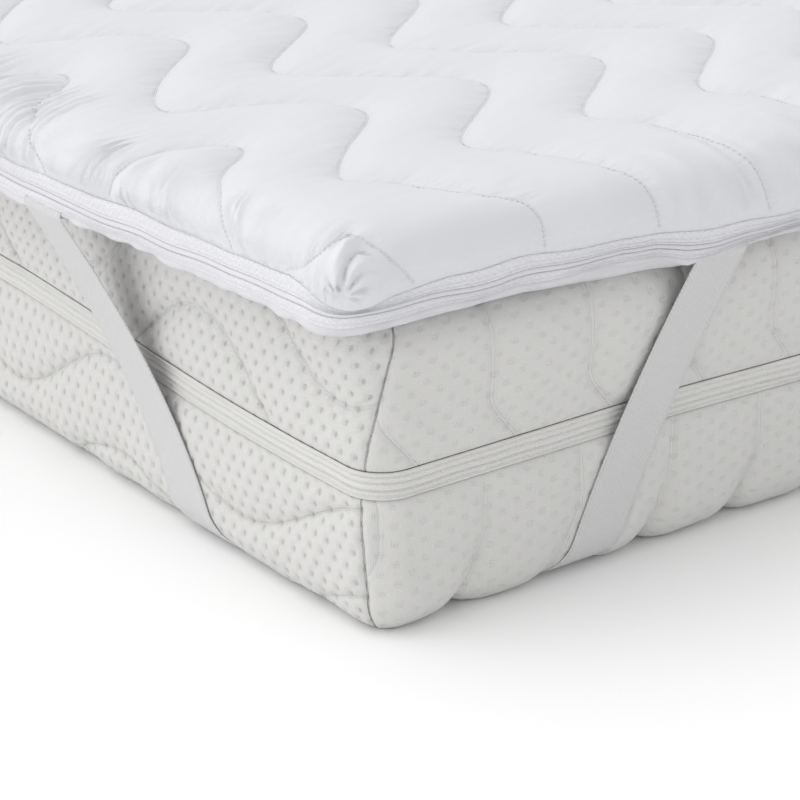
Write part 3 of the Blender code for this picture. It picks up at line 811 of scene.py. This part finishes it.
TEETH = 3800
TOOTH = 0.0005

upper_tape = [(-0.0038, COIL_TOP + TAPE_GAP)]
upper_tape += [(0.001 * out, COIL_TOP + 0.001 * up) for out, up in UPPER_TAPE]
upper_tape += [(-0.0028, BAND_TOP + 0.0014), (TAPE_BACK, BAND_TOP), (TAPE_BACK, COIL_TOP + TAPE_GAP)]
lower_tape = [(0.001 * out, 0.001 * height) for out, height in LOWER_TAPE]
lower_tape += [(out, COIL_BOTTOM - TAPE_GAP) for out in (-0.0038, TAPE_BACK)]
lower_tape += [(TAPE_BACK, lower_tape[0][1])]
tape = band_material("zip_tape", TAPE_COLOUR, 0.0010, 0.8, 0.07)
for part, section in (("upper", upper_tape), ("lower", lower_tape)):
    mesh = rim_band(f"zip_tape_woven_{part}", along, *np.array(section + section[:1]).T)
    piece = show(closed_cloth(mesh, caps=False), tape, "zip_tape", f"zip_tape_{part}")

coil_along = np.linspace(0.0, rim_girth, 2 * TEETH + 1)
coil_section = [(-0.0038, COIL_BOTTOM), (-0.0028, COIL_BOTTOM + 0.0014), (-0.0026, COIL_TOP - 0.0018)]
coil_section += [(-0.0038, COIL_TOP), (TAPE_BACK, COIL_TOP), (TAPE_BACK, COIL_BOTTOM)]
coil_out, coil_up = np.array(coil_section + coil_section[:1]).T
tooth = TOOTH * np.array([0, 1, 1, 0, 0, 0, 0])
mesh = cloth_grid(
    "zip_coil_teeth",
    coil_along,
    coil_up,
    lambda column, row: rim_place(
        coil_along[column], coil_out[row] + tooth[row] * (column % 2), coil_up[row]
    ),
)
material, shader, place, x, y = cloth_material("zip_coil", 0.38)
coil_grain = place.noise(1500.0)
finish_material(shader, coil_grain * 0.6, COIL_COLOUR, COIL_SHADE, coil_grain, 0.0001)
show(closed_cloth(mesh, caps=False), material, "zip_coil", "zip_coil")

# Corner straps
# Flat woven elastic, 46 mm wide. Each is sewn over the lip on both sides of a corner, and runs
# stretched down the mattress, round its lower edge and slantwise under the corner.

STRAP_HALF = 0.023
STRAP_THICK = 0.0014
STRAP_COLUMNS = (-1.0, -0.96, -0.88, -0.5, 0.0, 0.5, 0.88, 0.96, 1.0)
# Out and height of a strap's top on a long side and on a short one, and up and out from there
# where its end is sewn over the lip
LONG_SEWN, SHORT_SEWN = (-0.0014, LIP_BOTTOM), (-0.0044, 0.2424)
SEWN_END = ((0.0060, -0.0034), (0.0044, -0.0012), (0.0022, 0.0002))
DASH_WIDE, DASH_LONG = 0.0016, 0.0034
STITCH_PITCH = 0.0030
ELASTIC_COLOUR, ELASTIC_SHADE = (0.755, 0.750, 0.756), (0.46, 0.46, 0.465)


def strap_side(top_out, top_height, ends):
    """Rows (along, out, height) of half a strap, from its sewn end down and round the edge."""
    top, foot = ends
    lean = (top - foot) / (top_height - BOTTOM_ROUND)
    rows = []
    for share in np.linspace(0.0, 1.0, 46)[:-1]:
        height = top_height + (STRAP_BEND - top_height) * share
        out = STRAP_CLEAR + (top_out - STRAP_CLEAR) * (1.0 - share) ** STRAP_SWEEP
        rows.append((foot + lean * (height - BOTTOM_ROUND), out, height))
    for angle in np.linspace(0.0, math.pi / 2, 12):
        out = STRAP_CLEAR - (BOTTOM_ROUND + STRAP_CLEAR) * (1.0 - math.cos(angle))
        height = BOTTOM_ROUND - (BOTTOM_ROUND - STRAP_LOW) * math.sin(angle)
        rows.append((foot - lean * BOTTOM_ROUND * angle, out, height))
    first_along, first_out, first_height = rows[0]
    return [(first_along + lean * up, first_out + back, first_height + up) for up, back in SEWN_END] + rows


def strap_rows(sign):
    """The strap's middle line and the vector to its edge, from the long side to the short one."""
    corner = MATTRESS_MIDDLE + MATTRESS_HALF * sign
    long_foot = (sign[0] * INNER_X, corner[1] - sign[1] * LONG_STRAP[0], sign[0], 0.0)
    short_foot = (corner[0] - sign[0] * SHORT_STRAP[0], sign[1] * INNER_Y, 0.0, sign[1])
    lines = []
    sides = ((0, long_foot, LONG_SEWN, LONG_STRAP), (1, short_foot, SHORT_SEWN, SHORT_STRAP))
    for axis, foot, (out, height), ends in sides:
        end = edge_place(foot, out, height + band_rise(foot, LIP_BOTTOM))
        edge = np.zeros(3)
        edge[1 - axis] = -sign[1 - axis] * STRAP_HALF * math.hypot(1.0, (ends[0] - ends[1]) / MATTRESS_TOP)
        line = []
        for row_along, row_out, row_height in strap_side(abs(end[axis] - corner[axis]), end[2], ends):
            spot = np.array([*corner, row_height])
            spot[axis] += sign[axis] * row_out
            spot[1 - axis] -= sign[1 - axis] * row_along
            line.append((spot, edge))
        lines.append(line)
    (first, first_edge), (last, last_edge) = lines[0][-1], lines[1][-1]
    chords = np.abs(first_edge).max(), np.abs(last_edge).max()
    under = []
    for share in np.linspace(0.0, 1.0, 24)[1:-1]:
        angle = math.pi / 2 * smooth(0.1, 0.9, share)
        chord = chords[0] + (chords[1] - chords[0]) * share
        edge = np.array([-sign[0] * math.sin(angle), -sign[1] * math.cos(angle), 0.0]) * chord
        under.append((first + (last - first) * share, edge))
    return lines[0] + under + lines[1][::-1]


def elastic_material():
    """Woven elastic: rows of short dashes along it, each column half a dash past the next."""
    material, shader, place, x, y = cloth_material("elastic", 0.8, 0.15)
    column = x / DASH_WIDE
    within = column - column.floor()
    dash = (y / DASH_LONG + column.floor() * 0.5).fraction()
    raised = within.ramp(0.05, 0.35) * within.ramp(0.98, 0.75)
    raised = raised * dash.ramp(0.0, 0.18) * dash.ramp(1.0, 0.8)
    edge = abs(x).ramp(0.0208, 0.0214)
    cord = abs(x).ramp(0.0214, 0.0224)
    grain = place.noise(1800.0)
    stitches = abs(y - STITCH_PITCH).ramp(0.0009, 0.0005) * (x / STITCH_PITCH).fraction().ramp(0.2, 0.35)
    # Painted shade: the groove beside each edge cord is painted darker.
    shade = 0.17 - raised * 0.10 + edge * 0.26 - cord * 0.35 + grain * 0.14 + stitches * -0.2
    height = raised * 0.9 + grain * 0.2 - edge * 0.9 + cord * 1.2 + stitches * 0.8
    finish_material(shader, shade, ELASTIC_COLOUR, ELASTIC_SHADE, height, 0.00045)
    return material


elastic = elastic_material()
for sign_x, side in ((-1, "left"), (1, "right")):
    for sign_y, end in ((-1, "front"), (1, "back")):
        middle, edge = (np.array(part) for part in zip(*strap_rows((sign_x, sign_y))))
        run = run_along(*middle.T)
        across = np.array(STRAP_COLUMNS) * sign_x * sign_y
        mesh = cloth_grid(
            f"strap_woven_{end}_{side}",
            across * STRAP_HALF,
            run,
            lambda column, row: middle[row] + edge[row] * across[column, None],
        )
        mesh.shade_smooth()
        strap = show(mesh, elastic, "elastic", f"strap_{end}_{side}")
        give_thickness(strap, STRAP_THICK, 1.0, even=True)

# Quilted cover
# White microfibre over a thick filling, sewn through in long waves 117 mm apart. The filling
# swells between the lines and the thread draws the cloth into small gathers beside them.

WAVE_PITCH = 0.117
WAVE_FIRST_X = -0.4362
WAVE_PERIOD = 0.241
WAVE_TIP_Y = -0.881
WAVE_DEPTH = 0.0530
WAVE_POINTED = 0.03
STITCH_LEVEL = 0.3136
EDGE_CROWN = 0.007
CLOTH_BAND = 0.085
COVER_COLOUR = (0.708, 0.715, 0.742)
FILL_HEIGHT, PULL_HEIGHT, PINCH, SOFT_LUMPS, FINE_LUMPS = 0.0090, 0.0010, 0.0008, 0.0011, 0.0003
GATHERS, PLEATS, FOLDS = 0.0005, 0.0029, 0.0026
CREST_Y, CREST_LAG, SIDE_PULL = -0.803, 0.044, 0.045
STAR_LEVEL, STAR_DIP, STAR_TWIST = 0.0115, -0.0016, 0.9
STAR_FOLDS = [
    # heading of a fold from the corner's star in degrees, height in mm, half width, length
    (112.0, 4.4, 0.0052, 0.056),
    (88.0, -4.4, 0.0024, 0.046),
    (68.0, 3.4, 0.0028, 0.034),
    (50.0, -3.4, 0.0017, 0.028),
    (36.0, 3.4, 0.0020, 0.028),
    (20.0, -3.2, 0.0015, 0.026),
    (5.0, 3.2, 0.0018, 0.026),
    (-12.0, -2.8, 0.0015, 0.020),
    (-30.0, 2.4, 0.0017, 0.017),
    (150.0, -1.6, 0.0022, 0.024),
    (176.0, 1.6, 0.0026, 0.022),
    (204.0, -1.2, 0.0018, 0.013),
]
EDGE_LAG_X = (-0.42, -0.29, -0.19, -0.09)
EDGE_LAG = [
    # past the flat top towards the tuck, and how far the pattern lags there at each of those x
    (-0.040, 0.0, 0.0, 0.0, 0.0),
    (0.020, 0.040, 0.030, 0.042, 0.056),
    (0.040, 0.046, 0.036, 0.053, 0.070),
    (0.060, 0.054, 0.049, 0.066, 0.079),
    (0.085, 0.063, 0.070, 0.084, 0.092),
]
SLOPES = [
    # run along the cloth from the flat top, slope in degrees
    (0.000, 2.0),
    (0.018, 5.0),
    (0.032, 15.0),
    (0.043, 36.0),
    (0.054, 70.0),
    (0.065, 90.0),
    (0.085, 98.0),
]
SHOULDER_OUT, SHOULDER_DROP = 0.0527, 0.0398
# Columns from one stitch line to half way to the next, as shares of those 58.5 mm
HALF_PITCH = np.array([0.0, 1.5, 3.5, 6.0, 10.0, 16.0, 23.0, 31.0, 40.0, 49.0]) / 58.5
# Where the rows change their step, and the step from there on
ROW_STEPS = [(-0.72, 0.0023), (-0.40, 0.0060), (0.0, 0.0080)]
JOIN_WITHIN, CORNER_PAST = 0.0005, 0.028
TURNED_IN, COVER_FOOT = 0.006, 0.2440

profile_run = np.linspace(0.0, CLOTH_BAND, 171)
profile_slope = np.radians(np.interp(profile_run, *np.array(SLOPES).T))
profile_out = np.append(0.0, np.cumsum(np.cos(profile_slope[:-1]) * np.diff(profile_run)))
profile_drop = np.append(0.0, np.cumsum(np.sin(profile_slope[:-1]) * np.diff(profile_run)))
profile_out *= SHOULDER_OUT / profile_out[-1]
profile_drop *= SHOULDER_DROP / profile_drop[-1]


def wave(y):
    turn = math.tau * (y - WAVE_TIP_Y) / WAVE_PERIOD
    return -WAVE_DEPTH * (np.cos(turn) + WAVE_POINTED * np.cos(3.0 * turn))


def past_top(x, y):
    """How far a point of the flat cloth is past the flat top, across the bed and along it."""
    return np.abs(x) - INNER_X, np.abs(y) - INNER_Y


def pattern_at(x, y):
    """The place in the even quilting that lies at a point: the tight edge stretches the pattern."""
    over_x, over_y = past_top(x, y)
    runs, *lags = np.array(EDGE_LAG).T
    back = sum(
        np.interp(over_y, runs, lag) * np.interp(x, EDGE_LAG_X, share)
        for lag, share in zip(lags, np.eye(len(lags)))
    )
    crest = np.mod(y - CREST_Y + WAVE_PERIOD / 2, WAVE_PERIOD) - WAVE_PERIOD / 2
    aside = CREST_LAG * smooth(-0.12, 0.085, over_x) * (1.0 - 0.8 * ridge(crest, 0.046))
    aside = aside * fade(-0.12, -0.02, over_y) * smooth(0.02, 0.42, np.abs(y))
    pull = SIDE_PULL * smooth(-0.03, 0.12, over_x)
    return x - np.sign(x) * pull, y - np.sign(y) * (back + aside)


def stitch_phase(x, y):
    """How many pitches a point of the cloth is past the first stitch line."""
    x, y = pattern_at(x, y)
    return (x - wave(y) - WAVE_FIRST_X) / WAVE_PITCH


def stitch_line(phase, y):
    """Where the line of that phase crosses y, by halving."""
    low, high = np.full(np.shape(y), -0.7), np.full(np.shape(y), 0.7)
    for _ in range(26):
        middle = (low + high) / 2
        short = stitch_phase(middle, y) < phase
        low, high = np.where(short, middle, low), np.where(short, high, middle)
    return low


def steepness(y):
    """How much closer than one pitch the stitch lines are, measured square to them."""
    slope = (wave(y + 0.001) - wave(y - 0.001)) / 0.002
    return 1.0 / np.hypot(1.0, slope)


def near_stitch(x, y):
    """A point's phase, how close the lines are there, and its distance to the nearest in metres."""
    phase, close = stitch_phase(x, y), steepness(pattern_at(x, y)[1])
    return phase, close, from_line(phase) / 2 * WAVE_PITCH * close


def corner_turn(x, y):
    """The flat cloth's square corner made round: run from the flat top, and station below."""
    over_x, over_y = past_top(x, y)
    run = np.maximum(over_x, over_y)
    safe = np.maximum(run, 1e-9)
    by_x = math.pi / 4 * np.maximum(over_y, 0.0) / safe
    by_y = math.pi / 2 - math.pi / 4 * np.maximum(over_x, 0.0) / safe
    angle = np.where(over_x >= over_y, by_x, by_y)
    foot_x, foot_y = np.clip(x, -INNER_X, INNER_X), np.clip(y, -INNER_Y, INNER_Y)
    dir_x, dir_y = np.copysign(np.cos(angle), x), np.copysign(np.sin(angle), y)
    return np.maximum(run, 0.0), (foot_x, foot_y, dir_x, dir_y)


def cover_lift(x, y):
    """How far the filling and the gathers raise the cloth above the level of the stitches."""
    phase, close, away = near_stitch(x, y)
    line = np.rint(phase)
    fill = FILL_HEIGHT * (1.0 - (1.0 - from_line(phase)) ** 2.2) * (0.62 + 0.38 * close)
    fill += PULL_HEIGHT * (1.0 - np.exp(-away / 0.005))
    side = np.where(phase > line, 17.0, 0.0) + line * 31.0
    pinch = uneven(31, 0.010, 0.026, y * 1.3 + side, x * 0.25)
    fill += PINCH * pinch * np.exp(-away / 0.011) * (1.0 - np.exp(-away / 0.002))
    lumps = SOFT_LUMPS * uneven(32, 0.06, 0.16, x, y) + FINE_LUMPS * uneven(33, 0.014, 0.035, x, y)
    fill += lumps * smooth(0.0, 0.02, away)
    over_x, over_y = past_top(x, y)
    from_tuck = CLOTH_BAND - np.maximum(over_x, over_y)
    from_corner = -np.minimum(over_x, over_y)
    long_side = over_x > over_y
    around = np.where(long_side, y, x)
    fill += GATHERS * uneven(34, 0.012, 0.028, around) * ridge(from_tuck, 0.035)
    pleats = 1.2 - 2.0 * ridge(uneven(35, 0.012, 0.022, around - 0.10 * from_tuck), 0.5)
    pleated = smooth(0.29, 0.36, from_corner) * fade(0.52, 0.66, from_corner)
    pleated = pleated * smooth(0.0, 0.012, from_tuck) * fade(0.06, 0.12, from_tuck)
    fill += PLEATS * pleats * pleated * (long_side & (x < 0.0) & (y < 0.0))
    folds = uneven(36, 0.018, 0.036, around + 0.3 * from_tuck) * (1.0 - long_side)
    folded = smooth(0.21, 0.28, from_corner) * smooth(0.0, 0.016, from_tuck) * fade(0.05, 0.11, from_tuck)
    fill += FOLDS * folds * folded
    return fill * smooth(0.0, 0.018, from_tuck)


def corner_folds(x, y, run, station):
    """The star of folds where each corner's spare cloth is gathered, just above the tuck."""
    across = (np.arctan2(np.abs(station[3]), np.abs(station[2])) - math.pi / 4) * 0.050 + 0.001
    up = CLOTH_BAND - run - STAR_LEVEL
    far = np.hypot(across, up)
    turn = np.arctan2(up, across) + STAR_TWIST * smooth(0.01, 0.05, far)
    total = STAR_DIP * ridge(far, 0.0035)
    for heading, height, width, length in STAR_FOLDS:
        aside = far * np.sin(turn - math.radians(heading))
        ahead = far * np.cos(turn - math.radians(heading))
        reach = smooth(0.0, 0.005, ahead) * fade(0.5 * length, length, ahead)
        total += 0.001 * height * reach * ridge(aside, width)
    return total * smooth(-0.004, 0.004, np.minimum(*past_top(x, y))) * smooth(-0.011, -0.005, up)


def rim_along(station):
    """Distance round the topper's edge to a station."""
    foot_x, foot_y, dir_x, dir_y = station
    turn = math.pi / 2 * SHOULDER
    quarter = np.mod(np.arctan2(dir_y, dir_x) + math.pi / 2, math.tau) / (math.pi / 2)
    side = np.rint(quarter).astype(int) % 4
    starts = np.cumsum([0, 2 * INNER_X + turn, 2 * INNER_Y + turn, 2 * INNER_X + turn])
    along_side = [foot_x + INNER_X, foot_y + INNER_Y, INNER_X - foot_x, INNER_Y - foot_y]
    bend = (quarter - np.rint(quarter)) * turn
    return np.mod(starts[side] + np.choose(side, along_side) + bend, rim_girth)


def cover_place(x, y, extra=0.0):
    """Where a point of the flat quilted cloth lies on the filled topper."""
    run, station = corner_turn(x, y)
    profile = (profile_out, profile_drop, profile_slope)
    out, drop, slope = (np.interp(run, profile_run, line) for line in profile)
    slope = slope * smooth(0.0, 0.004, run)
    lift = cover_lift(x, y) + corner_folds(x, y, run, station) + extra
    weight = drop / profile_drop[-1]
    crown = EDGE_CROWN * fade(0.0, 0.13, INNER_X - np.abs(station[0]))
    crown *= smooth(0.10, 0.30, corner_gaps(station)[1]) * (1.0 - weight)
    spot = edge_place(station, out + lift * np.sin(slope) - SHOULDER, 0.0, weight)
    flat = run <= 0.0
    spot[flat, 0], spot[flat, 1] = x[flat], y[flat]
    rise = rim_wave(rim_along(station)) + band_rise(station, BAND_HEIGHTS[-1]) * (run > 0.0)
    spot[:, 2] += STITCH_LEVEL - crown - drop + lift * np.cos(slope) + weight * rise
    return spot


half_x, half_y = INNER_X + CLOTH_BAND, INNER_Y + CLOTH_BAND
in_pitch = np.sort(np.concatenate([HALF_PITCH, 2.0 - HALF_PITCH[1:], [1.0]])) / 2.0
pitches = np.arange(-2, math.ceil(2 * half_x / WAVE_PITCH) + 2)
columns = (pitches[:, None] + in_pitch).ravel()
columns = columns[np.abs(WAVE_FIRST_X + WAVE_PITCH * columns) < half_x + 0.075]
steps = [(-half_y - 0.004, 0.0034), *ROW_STEPS]
ends = [first for first, _ in ROW_STEPS] + [half_y + 0.01]
rows = np.concatenate([np.arange(first, end, step) for (first, step), end in zip(steps, ends)])
mesh = cloth_grid(
    "topper_quilted_cover",
    columns,
    rows,
    lambda column, row: np.stack(
        [stitch_line(columns[column], rows[row]), rows[row], np.zeros(len(row))], axis=-1
    ),
)
with reshaped(mesh) as bm:
    for way, far in (((1, 0, 0), half_x), ((-1, 0, 0), half_x), ((0, 1, 0), half_y), ((0, -1, 0), half_y)):
        bmesh.ops.bisect_plane(
            bm,
            geom=bm.verts[:] + bm.edges[:] + bm.faces[:],
            dist=1e-6,
            plane_co=[far * part for part in way],
            plane_no=way,
            clear_outer=True,
        )
    bmesh.ops.remove_doubles(bm, verts=bm.verts, dist=JOIN_WITHIN)
    close = [
        edge
        for edge in bm.edges
        if all(min(past_top(*vert.co.xy)) > CORNER_PAST for vert in edge.verts)
    ]
    bmesh.ops.subdivide_edges(bm, edges=close, cuts=5, use_grid_fill=True)
flat = points_of(mesh)[:, :2]
mark_points(mesh, "stitch", near_stitch(*flat.T)[-1])
mark_points(mesh, "from_tuck", CLOTH_BAND - np.maximum(*past_top(*flat.T)))
finish_cloth(mesh, cover_place(*flat.T), flat)


def turned_under(bm):
    """The points of one more row, extruded from the cloth's open edge."""
    made = bmesh.ops.extrude_edge_only(bm, edges=[edge for edge in bm.edges if edge.is_boundary])["geom"]
    return [part for part in made if isinstance(part, bmesh.types.BMVert)]


with reshaped(mesh) as bm:
    for vert in turned_under(bm):
        spot = np.array(vert.co.xy)
        inward = np.clip(spot, (-INNER_X, -INNER_Y), (INNER_X, INNER_Y)) - spot
        vert.co.xy = spot + TURNED_IN * inward / max(np.hypot(*inward), 1e-6)
    for vert in turned_under(bm):
        vert.co.z = COVER_FOOT
    bmesh.ops.contextual_create(bm, geom=[edge for edge in bm.edges if edge.is_boundary])
    bmesh.ops.recalc_face_normals(bm, faces=bm.faces)
mesh.shade_smooth()


def cover_material():
    """Microfibre: nearly smooth, with fine pulls beside the stitches and above the tuck."""
    material, shader, place, x, y = cloth_material("quilted_cover", 0.82, 0.25)
    away, tuck = place.mark("stitch"), place.mark("from_tuck")
    beside = away.ramp(0.016, 0.0) * away.ramp(0.0, 0.003)
    near_tuck = tuck.ramp(0.045, 0.0)
    pulls = place.noise(110.0, 2.0, (0.35, 1.3, 1.0)) - 0.5
    gathers = place.noise(80.0) - 0.5
    soft = place.noise(26.0, 3.0) - 0.5
    fine = place.noise(2200.0)
    groove = away.ramp(0.0016, 0.0)
    height = pulls * beside * 1.6 + gathers * near_tuck * 1.2 + soft * 0.9 + fine * 0.07 - groove * 0.2
    # Painted shade: the cloth is painted slightly darker in the groove along each stitch line.
    shade = groove * 0.05 + fine * 0.06
    finish_material(shader, shade, COVER_COLOUR, darker(COVER_COLOUR, 0.72), height, 0.0012)
    return material


cover = show(mesh, cover_material(), "quilted_cover", "topper_cover")

# Quilting thread
# White polyester thread in stitches of about 4 mm: each stitch shows as a short rounded bar that
# dives into the cloth at both ends.

STITCH = 0.0042
THREAD_HALF = 0.00055
THREAD_ROUND = np.array([-0.0004, 0.00025, -0.0004])
STITCH_RISE = np.array([-0.0006, 0.00055, 0.0009, 0.00055])
THREAD_COLOUR, THREAD_SHADE = (0.80, 0.81, 0.84), (0.6, 0.6, 0.63)
END_GAP = 0.004
SHORTEST_RUN = 9


def thread_run(x, y, number):
    """One run of thread over points of a stitch line, whose numbers tell each point's part."""
    tilt = np.gradient(x, y)
    square = np.stack([np.ones(len(y)), -tilt], axis=-1) / np.hypot(1.0, tilt)[:, None]
    across = THREAD_HALF * np.arange(3)

    def place(column, row):
        aside = across[column] - THREAD_HALF
        crown = THREAD_ROUND[column] + STITCH_RISE[number[row] % 4]
        spot = np.stack([x[row], y[row]], axis=-1) + square[row] * aside[:, None]
        return cover_place(*spot.T, crown)

    return cloth_grid("thread", across, np.arange(len(number)) * STITCH / 4, place)


fine_rows = np.arange(-half_y + END_GAP, half_y - END_GAP, STITCH / 5)
threads = []
for line in range(-1, math.ceil(2 * half_x / WAVE_PITCH) + 1):
    length = run_along(fine_rows, stitch_line(line, fine_rows))
    y = np.interp(np.arange(0.0, length[-1], STITCH / 4), length, fine_rows)
    x = stitch_line(line, y)
    inside = np.flatnonzero(np.abs(x) < half_x - END_GAP)
    for number in np.split(inside, np.flatnonzero(np.diff(inside) > 1) + 1):
        if len(number) >= SHORTEST_RUN:
            threads.append(thread_run(x[number], y[number], number))
mesh = bpy.data.meshes.new("quilting_thread")
with reshaped(mesh) as bm:
    for part in threads:
        bm.from_mesh(part)
        bpy.data.meshes.remove(part)
mesh.shade_smooth()
material, shader, place, x, y = cloth_material("quilting_thread", 0.5, 0.1)
twist = (x + y).sine(0.0011)
finish_material(shader, twist * 0.1, THREAD_COLOUR, THREAD_SHADE, twist, 0.0001)
show(mesh, material, "quilted_cover")

# Floor and light
# A white studio floor in a white surround that lights the bed evenly from all round, and two
# large soft keys from behind on the left, a low one and a high one.

WORLD_LIGHT = 0.80
FLOOR_COLOUR, FLOOR_SHADE = (0.97, 0.97, 0.97), (0.9, 0.9, 0.9)
LIGHTS = [
    # name, energy, spread, height, heading of its light
    ("key_low", 0.72, 70.0, 18.0, (0.96, -0.28)),
    ("key_high", 0.80, 50.0, 60.0, (0.70, -0.70)),
]

bpy.context.scene.view_settings.view_transform = "Standard"
mesh = bpy.data.meshes.new("floor")
with reshaped(mesh) as bm:
    bmesh.ops.create_grid(bm, x_segments=8, y_segments=8, size=20.0)
material = bpy.data.materials.new("floor_white")
material.use_nodes = True
shader = material.node_tree.nodes["Principled BSDF"]
shader.inputs["Roughness"].default_value = 0.9
shader.inputs["Specular IOR Level"].default_value = 0.0
place = Signal(material.node_tree).node("TexCoord", {}, {}, 3)
finish_material(shader, place.noise(3.0) * 0.1, FLOOR_COLOUR, FLOOR_SHADE, place.noise(40.0), 0.0002)
mesh.materials.append(material)
floor = bpy.data.objects.new("floor", mesh)
bpy.context.scene.collection.objects.link(floor)

world = bpy.data.worlds.new("white_surround")
world.use_nodes = True
background = world.node_tree.nodes["Background"]
background.inputs["Color"].default_value = (1.0, 1.0, 1.0, 1.0)
background.inputs["Strength"].default_value = WORLD_LIGHT
bpy.context.scene.world = world

for name, energy, spread, height, heading in LIGHTS:
    data = bpy.data.lights.new(name, "SUN")
    data.energy = energy
    data.angle = math.radians(spread)
    light = bpy.data.objects.new(name, data)
    turn = math.atan2(heading[1], heading[0]) + math.pi
    light.rotation_euler = (0.0, math.radians(90.0 - height), turn)
    bpy.context.scene.collection.objects.link(light)
